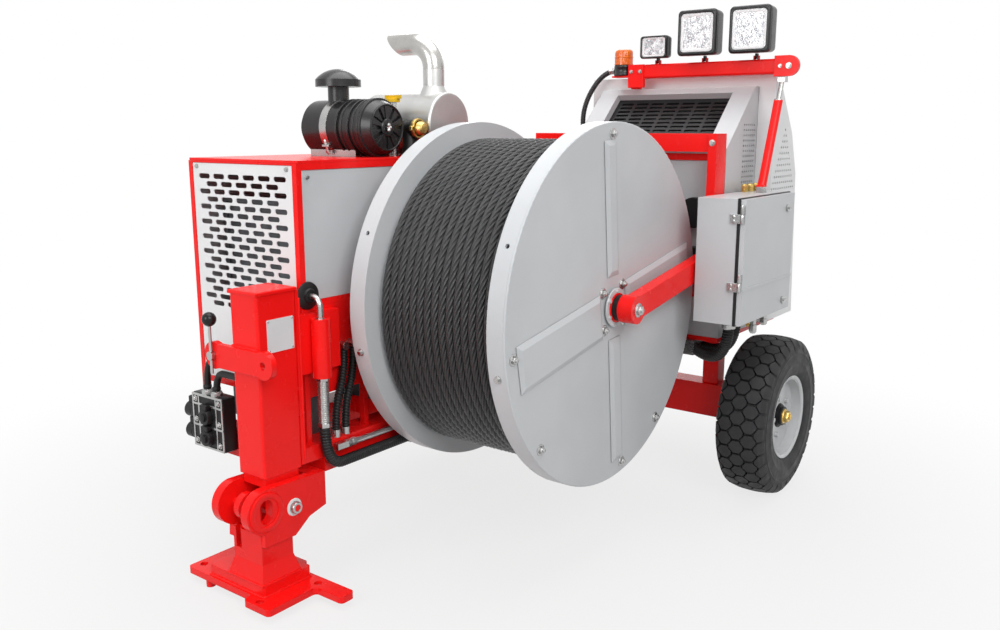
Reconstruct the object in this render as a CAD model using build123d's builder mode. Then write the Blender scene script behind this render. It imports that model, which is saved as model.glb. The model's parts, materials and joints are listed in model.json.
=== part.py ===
from build123d import *
from math import asin, atan2, cos, degrees, floor, hypot, pi, radians, sin, sqrt, tan
import os

os.makedirs("parts", exist_ok=True)

# Frame: X forward to the support leg, Y left to the open drum face, Z up, ground at Z 0

# Shared clearances
WELD_GAP = 0.5
RUN_FIT = 0.05
BODY_GAP = 0.5
SHEET = 4.0

# Rope drum
DRUM_X = 165.0
DRUM_Z = 1068.0
DRUM_FACE_Y = 620.0
DRUM_WIDTH = 742.0
FLANGE_R = 725.0
RIM_WIDTH = 78.0
RIM_WALL = 12.0
DISC_WALL = 8.0
COVER_EDGE_R = 4.0
RIM_HOLE_R = 9.0
RIM_HOLE_ANGLE = 25.0
BARREL_R = 625.0
BARREL_WALL = 15.0
SHAFT_R = 45.0
STUB_R = 30.0
STUB_END_GAP = 4.0
HUB_R = 200.0
HUB_T = 20.0
HOLE_CLEAR = 1.0
RIB_HIGH = 6.0
RIB_BEVEL = 24.0
BAND_TURN = 10.0
BAND_WIDE = 150.0
RIB_TURN = 5.0
RIB_WIDE = 72.0
RIB_START = 140.0
RIB_END = 650.0
HUB_BOLT_R = 108.0
HUB_BOLT_TURN = 38.0
RIM_BOLT_R = 680.0
RIM_BOLT_ANGLES = (87.0, -7.0, -42.0, -98.0, -125.0)
RIM_EDGE_BOLT_ANGLE = -12.0

# Rope and its end clamps
ROPE_D = 34.0
ROPE_GAP = 0.8
ROPE_LIFT = 0.3
ROPE_START_ANGLE = 200.0
CLAMP_LONG = 60.0
CLAMP_MARGIN = 1.5

# Fasteners
BOLT_R = 14.0
SMALL_BOLT_R = 9.0
WASHER_T = 3.0
HEAD_RATIO = 0.75

# Drive on the hidden side of the drum
PEDESTAL_GAP = 63.0
PEDESTAL_T = 20.0
PEDESTAL_HALF = 200.0
PEDESTAL_HOLE_R = 80.0
GEARBOX_FLANGE_R = 190.0
GEARBOX_FLANGE_T = 25.0
GEARBOX_R = 125.0
GEARBOX_GAP = 8.0
COVER_HOLE_R = 150.0
SHAFT_ENGAGE = 90.0
MOTOR_R = 75.0
MOTOR_LONG = 235.0

# Arm on the open side of the drum
BEARING_GAP = 2.0
BEARING_R = 52.0
BEARING_WIDE = 40.0
ARM_THICK = 56.0
ARM_HIGH = 90.0
ARM_RISE = 9.3
BOSS_R = 56.0

# Chassis rails and axle
RAIL = 120.0
RAIL_WALL = 8.0
RAIL_TOP = 560.0
LEFT_RAIL_FRONT = 985.0
RIGHT_RAIL_FRONT = 1085.0
LEFT_RAIL_Y = -250.0
RIGHT_RAIL_Y = -630.0
CROSS_WIDE = 80.0
CROSS_XS = (-700.0, -110.0, 410.0, 920.0)
AXLE_X = -969.0
WHEEL_R = 388.0
AXLE_BEAM = 120.0
AXLE_BEAM_TOP = 500.0
AXLE_BEAM_LOW = 335.0
AXLE_BEAM_HALF = 640.0
SPINDLE_R = 30.0
SPINDLE_END = 905.0

# Wheels
WHEEL_FACE_Y = 976.0
TYRE_WIDE = 248.0
TYRE_WALL = 24.0
TYRE_BEAD = 40.0
TYRE_SHOULDER = 46.0
RIM_R = 194.0
RIM_SHEET = 10.0
RIM_DISH_IN = 62.0
RIM_DISC_T = 12.0
WHEEL_HUB_R = 58.0
LUG_CIRCLE_R = 95.0
LUG_COUNT = 5
LUG_R = 12.0

# Rear deck
DECK_BOTTOM = 780.0
DECK_T = 20.0
DECK_POST = 80.0
DECK_POST_YS = (-60.0, 560.0)

# Rear frame behind the drum
FRAME_LAP = 40.0
FRAME_FRONT = DRUM_X - FLANGE_R + FRAME_LAP
POST_DEEP = 105.0
POST_Y = (682.0, 722.0)
FRAME_LOW = 1000.0
FRAME_TOP = 1744.0
BEAM = 80.0
BEAM_SETBACK = 15.0
LOWER_BEAM_DEEP = 60.0
INNER_SETBACK = 25.0
GUARD_SETBACK = 80.0
STRIP_T = 10.0
BUFFER_Y = 596.0
INNER_POST_Y = (-250.0, -170.0)
STRIP_HIGH = 30.0
STRIP_DROP = 9.0
BAR_WALL = 6.0
GUARD_T = 6.0
BUFFER_R = 70.0
BUFFER_LONG = 24.0
BUFFER_ZS = (1165.0, 1389.0)

# Engine house
HOUSE_GAP = 40.0
HOUSE_REAR = FRAME_FRONT + HOUSE_GAP
HOUSE_FRONT = 1035.0
HOUSE_RIGHT = -887.0
HOUSE_LEFT = -230.0
HOUSE_TOP = 1650.0
HOUSE_BAR = 25.0
FRONT_LIP = 8.0
ROOF_T = 10.0
PANEL_LOW = 740.0
SIDE_PANEL_LOW = 1120.0
PANEL_INSET = 2.0
PANEL_GAP = 1.0
SIDE_PLATE_X = 700.0
MOTOR_NOTCH_R = 95.0
SLOT_ROWS = 18
SLOT_LONG = 71.0
SLOT_HIGH = 20.0
SLOT_PITCH_Y = 92.5
SLOT_PITCH_Z = 30.5
SLOT_PER_ROW = 6
SLOT_TOP_DROP = 52.0

# Engine, pump, radiator and fan
ENGINE_X = (-150.0, 450.0)
ENGINE_Y = (-700.0, -460.0)
ENGINE_TOP = 1150.0
HEAD_HIGH = 170.0
HEAD_INSET = 30.0
PUMP_R = 90.0
PUMP_LONG = 180.0
PUMP_Z = 820.0
RADIATOR_Y = (-780.0, -300.0)
RADIATOR_TOP = 1500.0
RADIATOR_GAP = 40.0
FAN_R = 210.0
FAN_Z = 1050.0
FAN_HUB_R = 45.0
FAN_HUB_LONG = 40.0
FAN_SHAFT_R = 15.0
FAN_SHAFT_IN = 60.0
BLADE_COUNT = 6
BLADE_WIDE = 90.0
BLADE_T = 6.0
BLADE_PITCH = 30.0

# Oil tank
TANK_X = (-1100.0, -680.0)
TANK_Y = (-700.0, -270.0)
TANK_TOP = 1150.0
TANK_WALL = 5.0

# Air filter on the roof
FILTER_X = 500.0
FILTER_Z = 1770.0
FILTER_R = 115.0
FILTER_Y = (-670.0, -320.0)
FILTER_GROOVE = 5.0
FILTER_GROOVE_WIDE = 22.0
FILTER_GROOVE_YS = (-447.0, -380.0)
FILTER_BASE_HALF = 70.0
FILTER_BASE_Y = (-668.0, -395.0)
FILTER_BASE_HIGH = 46.0
FILTER_STUB_R = 86.0
FILTER_STUB_LONG = 36.0
FILTER_CAP_LONG = 42.0
FILTER_CAP_FACE_R = 98.0
CAP_GROOVE_COUNT = 12
CAP_GROOVE_WIDE = 14.0
CAP_GROOVE_DEEP = 8.0
CAP_GROOVE_R = (30.0, 86.0)
STRAP_Y = -540.0
STRAP_WIDE = 40.0
STRAP_T = 2.5
RAIN_Y = -558.0
RAIN_NECK_R = 45.0
RAIN_R = 96.5
RAIN_RISE = 170.0
RAIN_LOW = FILTER_Z + RAIN_RISE
RAIN_SKIRT = 30.0
RAIN_HIGH = 74.0

# Silencer and exhaust elbow
SHELL_WALL = 3.0
MUFFLER_X = 165.0
MUFFLER_R = 134.0
MUFFLER_LIFT = 3.0
MUFFLER_Z = HOUSE_TOP + MUFFLER_LIFT + MUFFLER_R
MUFFLER_Y = (-640.0, -220.0)
MUFFLER_END_R = 10.0
MUFFLER_FOOT_YS = (-560.0, -330.0)
MUFFLER_FOOT_WIDE = 40.0
MUFFLER_FOOT_HALF = 60.0
RISER_Y = -310.0
RISER_R = 46.5
RISER_COLLAR_R = 66.0
RISER_COLLAR_DROP = 18.0
RISER_COLLAR_HIGH = 44.0
RISER_TOP = 2020.0
PIPE_WALL = 3.0
ELBOW_RISE = 110.5
ELBOW_AXIS_Z = RISER_TOP + ELBOW_RISE
ELBOW_R = 108.0
ELBOW_TIP_TOP = -564.0
ELBOW_TIP_LOW = -487.0

# Intake elbow hose and filler
INTAKE_Y = -440.0
INTAKE_X = 330.0
INTAKE_R = 34.0
INTAKE_RIB = 4.0
INTAKE_BORE = 24.0
INTAKE_BEND = 52.0
INTAKE_PITCH = 11.0
FILLER_X = 363.0
FILLER_Y = -369.0
FILLER_NECK_R = 20.0
FILLER_NECK_TOP = 1876.0
FILLER_CAP_R = 30.0
FILLER_CAP_HIGH = 14.0
FILLER_BAR_LONG = 84.0
FILLER_BAR_WIDE = 16.0
FILLER_BAR_HIGH = 15.0

# Rear hood of grey sheet and the white cover behind it
HOOD_Y = (-120.0, 707.0)
HOOD_SETBACK = 145.0
HOOD_SLANT = 300.0
HOOD_DEEP = 410.0
HOOD_FRONT = FRAME_FRONT - HOOD_SETBACK
HOOD_KNEE_Z = 1675.0
HOOD_BROW_X = HOOD_FRONT - HOOD_SLANT
HOOD_REAR = HOOD_FRONT - HOOD_DEEP
HOOD_TOP = 1960.0
WINDOW_Y = (-17.0, 606.0)
WINDOW_MARGIN = 40.0
WINDOW_DEEP = 35.0
GRILLE_T = 10.0
GRILLE_ROWS = 11
GRILLE_COLUMNS = 7
GRILLE_SLOT_LONG = 70.0
GRILLE_SLOT_HIGH = 14.0
GRILLE_PITCH_Y = 84.0
GRILLE_PITCH_S = 27.0
VENT_LEAD = 50.0
VENT_X = HOOD_BROW_X + VENT_LEAD
VENT_Z = 1650.0
VENT_COLUMNS = 6
VENT_ROWS = 12
VENT_HOLE_R = 6.0
VENT_PITCH = 24.0
COVER_Y = (-204.0, 790.0)
COVER_LAP = 69.0
COVER_RISE = 57.0
COVER_DEEP = 384.0
COVER_RIDGE_X = HOOD_REAR + COVER_LAP
COVER_RIDGE_Z = HOOD_TOP + COVER_RISE
COVER_SHOULDER = (COVER_RIDGE_X - 244.0, COVER_RIDGE_Z - 272.0)
COVER_BACK = (COVER_RIDGE_X - 326.0, COVER_RIDGE_Z - 472.0)
COVER_REAR = COVER_RIDGE_X - COVER_DEEP
COVER_LOW = 830.0
COVER_FLAT = 40.0
COVER_VENT_TIP = (COVER_RIDGE_X - 154.0, COVER_RIDGE_Z - 258.0)
COVER_VENT_ROWS = 11
COVER_VENT_PITCH = 28.0
COVER_VENT_HOLE_R = 7.0
DECK_LEAD = 5.0
DECK_SHORT = 20.0
DECK_FRONT = HOOD_FRONT + DECK_LEAD
DECK_REAR = COVER_REAR + DECK_SHORT

# Control cabinet
CABINET_X = (HOOD_FRONT - 230.0, HOOD_FRONT + 335.0)
CABINET_Y = (735.0, 926.0)
CABINET_Z = (945.0, 1480.0)
DOOR_GAP = 1.5
DOOR_T = 22.5
DOOR_MARGIN = 2.0
DOOR_RIDGE_Z = 1099.0
DOOR_RIDGE = 6.0
HINGE_OUT = 8.0
HINGE_R = 7.0
HINGE_PIN_R = 3.0
HINGE_HALF = 38.0
HINGE_ZS = (1091.0, 1379.0)
HINGE_LEAF = 40.0
LATCH_SPOTS = ((CABINET_X[0] + 93.0, 1414.0), (CABINET_X[0] + 93.0, 993.0))
LATCH_R = 16.0
LATCH_HIGH = 9.0
LATCH_STEM_R = 6.0
LATCH_WING = 30.0
BRACKET_XS = (CABINET_X[0] + 35.0, CABINET_X[0] + 195.0)
BRACKET_WIDE = 40.0
BRACKET_Z = (1150.0, 1250.0)
CONTROL_STAND = 24.0
CONTROL_INSET = 20.0
LEVER_IN = 283.0
LEVER_X = CABINET_X[0] + LEVER_IN
LEVER_Z = 1210.0
LEVER_R = 6.0
LEVER_BALL_R = 15.0
LEVER_LONG = 66.0
LEVER_HUB_R = 10.0
LEVER_PIN_R = 4.0

# Light bar, stay, lamps and beacon
LIGHT_LEAD = 30.0
LIGHT_X = HOOD_BROW_X + LIGHT_LEAD
LIGHT_BAR_Z = (HOOD_TOP + 50.0, HOOD_TOP + 118.0)
LIGHT_BAR_DEEP = 68.0
LIGHT_BAR_Y = (64.0, 890.0)
LIGHT_FOOT_Y = 90.0
LIGHT_FOOT = 40.0
LIGHT_PLATE = (818.0, 932.0)
LIGHT_PLATE_T = 10.0
LIGHT_PLATE_OVER = 12.0
END_PLATE_WIDE = 86.0
END_PLATE_DROP = 44.0
STAY_Y = 845.0
STAY_IN = 145.0
STAY_FOOT_X = CABINET_X[0] + STAY_IN
STAY_ROD_R = 11.0
STAY_TUBE_R = 20.0
STAY_SPLIT = 0.8
STAY_BLOCK = 36.0
LAMP_TILT_RISE = 14.0
LAMP_LUG_T = 12.0
LAMP_LUG_HALF = 10.0
LAMP_PIN_R = 4.0
LAMP_FORK_T = 6.0
LAMP_BACK = 20.0
LAMP_EDGE = 22.0
LAMP_LENS_INSET = 14.0
LAMP_LENS_DEEP = 30.0
BIG_LAMP = (130.0, 194.0, 208.0)
SMALL_LAMP = (80.0, 148.0, 108.0)
LAMP_YS = (716.0, 458.0, 208.0)
LAMP_LIFT = 25.0
BEACON_Y = 13.0
BEACON_R = 48.0
BEACON_BASE_Z = (HOOD_TOP + 67.0, HOOD_TOP + 120.0)
BEACON_HIGH = 198.0
BEACON_TOP = HOOD_TOP + BEACON_HIGH
BEACON_PLATE_T = 8.0
CABLE_R = 13.0
CABLE_REACH = 70.0
CABLE_BULGE = 105.0
CABLE_DROP = 245.0
CABLE_BEND = 60.0

# Support leg
LEG_X = (1100.0, 1280.0)
LEG_Y = (-340.0, -190.0)
LEG_LIP = 5.0
LEG_LIP_T = 14.0
LEG_Z = (495.0, 1195.0)
LEG_WALL = 10.0
LEG_CAP_T = 15.0
LEG_SLIDE_GAP = 1.0
INNER_LOW = 455.0
INNER_TOP = 1050.0
JACK_R = 35.0
JACK_ROD_R = 25.0
JACK_LOW = 760.0
ROD_TOP_GAP = 25.0
MOUNT_T = 15.0
NECK_RISE = 5.0
NAMEPLATE_X = (1115.0, 1238.0)
NAMEPLATE_Z = (966.0, 1089.0)
NAMEPLATE_T = 2.0
CROSSBAR_Z = 940.0
CROSSBAR_HIGH = 90.0
CROSSBAR_T = 25.0
EYE_R = 52.0
EYE_BORE_R = 15.0
RIGHT_EYE_OUT = 51.0
LEFT_EYE_OUT = 81.0
HANDLE_ROD_R = 6.0
HANDLE_LOW = 68.0
HANDLE_HIGH = 117.0
HANDLE_KNOB_R = 27.0
HANDLE_HUB_R = 17.0
HANDLE_HUB_T = 18.0

# Tilting foot
PIVOT_X = 1175.0
PIVOT_Z = 363.0
PIVOT_R = 22.0
LUG_HALF = 35.0
LUG_ROUND_R = 46.0
CHEEK_GAP = 1.0
CHEEK_T = 40.0
CHEEK_REAR = 1015.0
CHEEK_TOP = 460.0
CHEEK_REAR_LOW = 322.0
CHEEK_KNEE = (1100.0, 300.0)
EAR_X = 1304.0
EAR_Z = 384.0
EAR_R = 86.0
EAR_SLOT = (56.0, 94.0)
MID_EAR_R = 52.0
MID_EAR_Y = (-285.0, -255.0)
ANCHOR_R = 20.0
TOP_PLATE_FRONT = 1080.0
TOP_PLATE_T = 20.0
WAIST_X = (1172.0, 1318.0)
WAIST_IN = (25.0, 20.0)
WAIST_TOP = 290.0
COLLAR_HIGH = 70.0
COLLAR_OUT = 20.0
STUD_R = 18.0
STUD_HIGH = 30.0
STUD_XS = (1122.0, 1328.0)
STUD_YS = (-495.0, -150.0)
BASE_T = 27.0
BASE_X = (1095.0, 1350.0)
BASE_Y = (-610.0, -70.0)
TONGUE_OUT_FRONT = 40.0
TONGUE_OUT_REAR = 60.0
TONGUE_OUT_LEFT = 140.0
FRONT_TONGUE_Y = (-215.0, -70.0)
REAR_TONGUE_Y = (-385.0, -255.0)
LEFT_TONGUE_X = (1095.0, 1163.0)
TONGUE_ROUND = 18.0
SLAB_X = (1110.0, 1338.0)
SLAB_Y = (-480.0, -155.0)
SLAB_T = 43.0
SLAB_ROUND = 12.0
STAKE_R = 16.0
STAKES = ((1362.0, -150.0), (1135.0, -88.0), (1300.0, -573.0), (1066.0, -320.0))
WAIST_WALL = 20.0
WAIST_SLOT = (30.0, 80.0)

# Hose sleeve, hoses, fittings and valve block beside the leg
HOSE_Y = -160.0
SLEEVE_X = 1007.0
SLEEVE_R = 37.0
SLEEVE_Z = (834.0, 1063.0)
SLEEVE_BLOCK_X = 881.0
SLEEVE_BLOCK_Z = (850.0, 1080.0)
GUARD_TUBE_R = 20.0
ELBOW_RISE = 40.0
GUARD_TUBE_LOW = 646.0
HOSE_R = 22.0
HOSE_RIB = 3.0
HOSE_BORE = 14.0
HOSE_PITCH = 11.0
HOSE_BEND = 95.0
HOSE_LOW_Z = 471.0
HOSE_END_X = 545.0
PORT_BLOCK = (60.0, 52.0, 56.0)
SPIRAL_R = 16.5
SPIRAL_RIB = 2.0
SPIRAL_BORE = 9.0
SPIRAL_PITCH = 12.0
SPIRAL_XS = (852.0, 800.0)
SPIRAL_Y = -205.0
SPIRAL_TOP = 906.0
SPIRAL_LOW = 590.0
SPIRAL_SHIFT = 55.0
SPIRAL_STRAIGHT = 90.0
SPIRAL_BEND = 120.0
BRAID_R = 12.0
BRAID_Z = 532.0
BRAID_Y = -172.0
BRAID_X1 = 880.0
VALVE_X = (RIGHT_RAIL_FRONT + 5.0, RIGHT_RAIL_FRONT + 65.0)
VALVE_Y = (-800.0, -600.0)
VALVE_Z = (470.0, 700.0)
COIL_R = 34.0
COIL_LONG = 70.0
COIL_ZS = (520.0, 610.0)
VALVE_HOSE_R = 14.0
VALVE_HOSE_ZS = (800.0, 850.0)
VALVE_HOSE_YS = (-660.0, -720.0)
VALVE_HOSE_IN = 45.0
VALVE_HOSE_X = RIGHT_RAIL_FRONT + VALVE_HOSE_IN
CABINET_HOSE_R = 26.0
CABINET_HOSE_XS = (CABINET_X[0] + 160.0, CABINET_X[0] + 235.0)
CABINET_HOSE_Y = 800.0
CABINET_HOSE_Z = 735.0
CABINET_HOSE_END = 600.0
CABINET_HOSE_BEND = 90.0

# Helpers
NORMALS = {"x": (1, 0, 0), "y": (0, 1, 0), "z": (0, 0, 1)}


def save(piece, name):
    """Label a finished piece and write it under its own name."""
    piece.part.label = name
    export_step(piece.part, f"parts/{name}.step")


def block(x, y, z, mode=Mode.ADD):
    """A box between two limits on each axis."""
    with Locations(((x[0] + x[1]) / 2, (y[0] + y[1]) / 2, (z[0] + z[1]) / 2)):
        Box(x[1] - x[0], y[1] - y[0], z[1] - z[0], mode=mode)


def hollow_bar(x, y, z, wall):
    """A box section with closed ends."""
    block(x, y, z)
    inner = [(low + wall, high - wall) for low, high in (x, y, z)]
    block(*inner, mode=Mode.SUBTRACT)


def axis_plane(axis, at, start):
    """A plane square to an axis, through the two other coordinates."""
    spot = list(at)
    spot.insert("xyz".index(axis), start)
    return Plane(origin=tuple(spot), z_dir=NORMALS[axis])


def rod(axis, at, radius, span, mode=Mode.ADD):
    """A round bar along one axis between two ends."""
    with BuildSketch(axis_plane(axis, at, span[0])) as section:
        Circle(radius)
    extrude(section.sketch, amount=span[1] - span[0], mode=mode)


def pipe(axis, at, inner, outer, span, mode=Mode.ADD):
    """A round tube along one axis between two ends."""
    with BuildSketch(axis_plane(axis, at, span[0])) as section:
        Circle(outer)
        Circle(inner, mode=Mode.SUBTRACT)
    extrude(section.sketch, amount=span[1] - span[0], mode=mode)


def sheet_y(points, span, mode=Mode.ADD):
    """A polygon of X and Z points, thick along Y."""
    with BuildSketch(Plane.XZ.offset(-span[1])) as profile:
        Polygon(*points, align=None)
    extrude(profile.sketch, amount=span[1] - span[0], mode=mode)


def bolt(spot, normal, radius):
    """A washer and a hexagon head standing on a face."""
    seat = Plane(origin=spot, z_dir=normal)
    with BuildSketch(seat) as washer:
        Circle(radius)
    extrude(washer.sketch, amount=WASHER_T)
    with BuildSketch(seat) as head:
        RegularPolygon(radius * HEAD_RATIO, 6)
    extrude(head.sketch, amount=WASHER_T + radius * HEAD_RATIO)


def ribbed(route, across, low, high, bore, pitch):
    """A ribbed hose along a flat route: ruled rings of two radii, with its bore."""
    ribs = floor(route.length / pitch)
    rings = []
    for index in range(4 * ribs + 1):
        spot = index / (4 * ribs)
        with BuildSketch(Plane(origin=route @ spot, x_dir=across, z_dir=route % spot)) as ring:
            Circle(high if index % 4 in (1, 2) else low)
        rings.append(ring.sketch)
    loft(rings, ruled=True)
    with BuildSketch(Plane(origin=route @ 0, x_dir=across, z_dir=route % 0)) as hole:
        Circle(bore)
    sweep(hole.sketch, path=route, mode=Mode.SUBTRACT)


def tube_along(route, radius):
    """A plain hose along a route."""
    with BuildSketch(Plane(origin=route @ 0, z_dir=route % 0)) as section:
        Circle(radius)
    sweep(section.sketch, path=route)


def strut(start, end, radius):
    """A round bar between two points."""
    way = Vector(*end) - Vector(*start)
    with BuildSketch(Plane(origin=start, z_dir=way)) as section:
        Circle(radius)
    extrude(section.sketch, amount=way.length)


def drum_spot(angle, radius, y):
    """A point on the drum by its angle from forward towards up."""
    return (DRUM_X + radius * cos(radians(angle)), y, DRUM_Z + radius * sin(radians(angle)))


# Drum flanges, cover and barrel
DRUM_AT = (DRUM_X, DRUM_Z)
RIM_IN_R = FLANGE_R - RIM_WALL
DRUM_BACK_Y = DRUM_FACE_Y - DRUM_WIDTH
COVER_BACK_Y = DRUM_FACE_Y - DISC_WALL
NEAR_WALL_Y = DRUM_FACE_Y - RIM_WIDTH
FAR_WALL_Y = DRUM_BACK_Y + RIM_WIDTH
STUB_HOLE_R = STUB_R + HOLE_CLEAR
RIM_WAY = (cos(radians(RIM_HOLE_ANGLE)), 0, sin(radians(RIM_HOLE_ANGLE)))

with BuildPart() as near_flange:
    pipe("y", DRUM_AT, RIM_IN_R, FLANGE_R, (NEAR_WALL_Y, COVER_BACK_Y))
    pipe("y", DRUM_AT, STUB_HOLE_R, FLANGE_R, (NEAR_WALL_Y, NEAR_WALL_Y + DISC_WALL))
    hole_spot = drum_spot(RIM_HOLE_ANGLE, FLANGE_R, (NEAR_WALL_Y + COVER_BACK_Y + DISC_WALL) / 2)
    with Locations(Plane(origin=hole_spot, z_dir=RIM_WAY)):
        Cylinder(RIM_HOLE_R, 4 * RIM_WALL, mode=Mode.SUBTRACT)
save(near_flange, "near_flange")

with BuildPart() as near_cover:
    pipe("y", DRUM_AT, STUB_HOLE_R, FLANGE_R, (COVER_BACK_Y, DRUM_FACE_Y))
    outer_face = near_cover.faces().sort_by(Axis.Y)[-1]
    fillet(outer_face.edges().sort_by(SortBy.RADIUS)[-1], COVER_EDGE_R)
    face_plane = Plane(origin=(DRUM_X, DRUM_FACE_Y, DRUM_Z), x_dir=(1, 0, 0), z_dir=(0, 1, 0))
    for turn, wide in ((BAND_TURN, BAND_WIDE), (90 + RIB_TURN, RIB_WIDE)):
        rib_taper = degrees(atan2(RIB_BEVEL, RIB_HIGH))
        with BuildSketch(face_plane) as ribs:
            with PolarLocations((RIB_START + RIB_END) / 2, 2, start_angle=turn):
                Rectangle(RIB_END - RIB_START, wide)
        extrude(ribs.sketch, amount=RIB_HIGH, taper=rib_taper)
save(near_cover, "near_cover")

with BuildPart() as far_flange:
    pipe("y", DRUM_AT, RIM_IN_R, FLANGE_R, (DRUM_BACK_Y, FAR_WALL_Y))
    pipe("y", DRUM_AT, SHAFT_R + HOLE_CLEAR, FLANGE_R, (FAR_WALL_Y - DISC_WALL, FAR_WALL_Y))
    pipe("y", DRUM_AT, COVER_HOLE_R, FLANGE_R, (DRUM_BACK_Y, DRUM_BACK_Y + DISC_WALL))
    hole_spot = drum_spot(RIM_HOLE_ANGLE, FLANGE_R, (DRUM_BACK_Y + FAR_WALL_Y) / 2)
    with Locations(Plane(origin=hole_spot, z_dir=RIM_WAY)):
        Cylinder(RIM_HOLE_R, 4 * RIM_WALL, mode=Mode.SUBTRACT)
save(far_flange, "far_flange")

with BuildPart() as drum_barrel:
    pipe("y", DRUM_AT, BARREL_R - BARREL_WALL, BARREL_R, (FAR_WALL_Y, NEAR_WALL_Y))
save(drum_barrel, "drum_barrel")

PEDESTAL_FACE_Y = DRUM_BACK_Y - PEDESTAL_GAP
GEARBOX_END_Y = FAR_WALL_Y - DISC_WALL - GEARBOX_GAP
BEARING_Y = DRUM_FACE_Y + RIB_HIGH + BEARING_GAP
ARM_IN_Y = BEARING_Y + BEARING_WIDE
ARM_OUT_Y = ARM_IN_Y + ARM_THICK
STUB_END_Y = ARM_OUT_Y - STUB_END_GAP

with BuildPart() as drum_shaft:
    rod("y", DRUM_AT, SHAFT_R, (GEARBOX_END_Y - SHAFT_ENGAGE, NEAR_WALL_Y))
    rod("y", DRUM_AT, STUB_R, (NEAR_WALL_Y, STUB_END_Y))
    rod("y", DRUM_AT, HUB_R, (FAR_WALL_Y, FAR_WALL_Y + HUB_T))
    rod("y", DRUM_AT, HUB_R, (NEAR_WALL_Y - HUB_T, NEAR_WALL_Y))
save(drum_shaft, "drum_shaft")

# Rope: one layer wound on the barrel, each half turn a pair of tangent arcs
ROPE_PITCH = ROPE_D + ROPE_GAP
ROPE_R = BARREL_R + ROPE_LIFT + ROPE_D / 2
ROPE_FIRST_Y = FAR_WALL_Y + CLAMP_MARGIN + ROPE_D / 2
ROPE_ROOM = NEAR_WALL_Y - FAR_WALL_Y - 2 * CLAMP_MARGIN - ROPE_D
ROPE_HALF_TURNS = floor(2 * ROPE_ROOM / ROPE_PITCH)
ROPE_STEP_Y = ROPE_ROOM / ROPE_HALF_TURNS
ROPE_SLOPE = ROPE_STEP_Y / pi


def rope_point(index):
    """A point on the winding, counted in half turns."""
    angle = radians(ROPE_START_ANGLE) + index * pi
    along = ROPE_FIRST_Y + index * ROPE_STEP_Y
    return Vector(DRUM_X + ROPE_R * cos(angle), along, DRUM_Z + ROPE_R * sin(angle))


def rope_tangent(index):
    """The rope's direction at that point."""
    angle = radians(ROPE_START_ANGLE) + index * pi
    return Vector(-ROPE_R * sin(angle), ROPE_SLOPE, ROPE_R * cos(angle)).normalized()


def biarc_joint(start, start_way, end, end_way):
    """The middle point of two tangent arcs that join two points and directions."""
    chord = end - start
    ways = start_way + end_way
    spread = 2 * (1 - start_way.dot(end_way))
    reach = (-chord.dot(ways) + sqrt(chord.dot(ways) ** 2 + spread * chord.dot(chord))) / spread
    return (start + end + (start_way - end_way) * reach) * 0.5


ROPE_IN = rope_point(0) - rope_tangent(0) * ROPE_D
ROPE_OUT = rope_point(ROPE_HALF_TURNS) + rope_tangent(ROPE_HALF_TURNS) * ROPE_D

with BuildPart() as drum_rope:
    with BuildLine() as winding:
        Line(ROPE_IN, rope_point(0))
        for half in range(ROPE_HALF_TURNS):
            begin, finish = rope_point(half), rope_point(half + 1)
            joint = biarc_joint(begin, rope_tangent(half), finish, rope_tangent(half + 1))
            first = TangentArc(begin, joint, tangent=rope_tangent(half))
            TangentArc(joint, finish, tangent=first % 1)
        Line(rope_point(ROPE_HALF_TURNS), ROPE_OUT)
    with BuildSketch(Plane(origin=ROPE_IN, z_dir=rope_tangent(0))):
        Circle(ROPE_D / 2)
    sweep(path=winding.line)
save(drum_rope, "drum_rope")

ROPE_SAMPLES = 24
rope_dots = [edge @ (k / ROPE_SAMPLES) for edge in winding.edges()[1:-1] for k in range(ROPE_SAMPLES)]
turn_dots = 4 * ROPE_SAMPLES
rope_gap = min(
    (rope_dots[i] - rope_dots[j]).length - ROPE_D
    for i in range(len(rope_dots) - turn_dots)
    for j in range(i + turn_dots - ROPE_SAMPLES, min(i + turn_dots + ROPE_SAMPLES, len(rope_dots)))
)
rope_long = sum(edge.length for edge in winding.edges())
print("rope length", round(rope_long), "half turns", ROPE_HALF_TURNS, "least gap", round(rope_gap, 3))

with BuildPart() as drum_bolts:
    for angle in RIM_BOLT_ANGLES:
        bolt(drum_spot(angle, RIM_BOLT_R, DRUM_FACE_Y), (0, 1, 0), BOLT_R)
    for quarter in range(4):
        bolt(drum_spot(HUB_BOLT_TURN + 90 * quarter, HUB_BOLT_R, DRUM_FACE_Y), (0, 1, 0), BOLT_R)
    edge_way = (cos(radians(RIM_EDGE_BOLT_ANGLE)), 0, sin(radians(RIM_EDGE_BOLT_ANGLE)))
    for y in (NEAR_WALL_Y + RIM_WIDTH / 2, FAR_WALL_Y - RIM_WIDTH / 2):
        bolt(drum_spot(RIM_EDGE_BOLT_ANGLE, FLANGE_R + BODY_GAP, y), edge_way, BOLT_R)
    for spot, way in ((ROPE_IN, -rope_tangent(0)), (ROPE_OUT, rope_tangent(ROPE_HALF_TURNS))):
        with BuildSketch(Plane(origin=spot, x_dir=(0, 1, 0), z_dir=way)):
            Rectangle(ROPE_D - CLAMP_MARGIN, ROPE_D)
        extrude(amount=CLAMP_LONG)
save(drum_bolts, "drum_bolts")

# Pedestal, gearbox and motor on the hidden side
with BuildPart() as drum_pedestal:
    with BuildSketch(Plane.XZ.offset(-PEDESTAL_FACE_Y)):
        with Locations((DRUM_X, (RAIL_TOP + DRUM_Z) / 2)):
            Rectangle(2 * PEDESTAL_HALF, DRUM_Z - RAIL_TOP)
        with Locations((DRUM_X, DRUM_Z)):
            Circle(PEDESTAL_HALF)
            Circle(PEDESTAL_HOLE_R, mode=Mode.SUBTRACT)
    extrude(amount=PEDESTAL_T)
save(drum_pedestal, "drum_pedestal")

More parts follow.
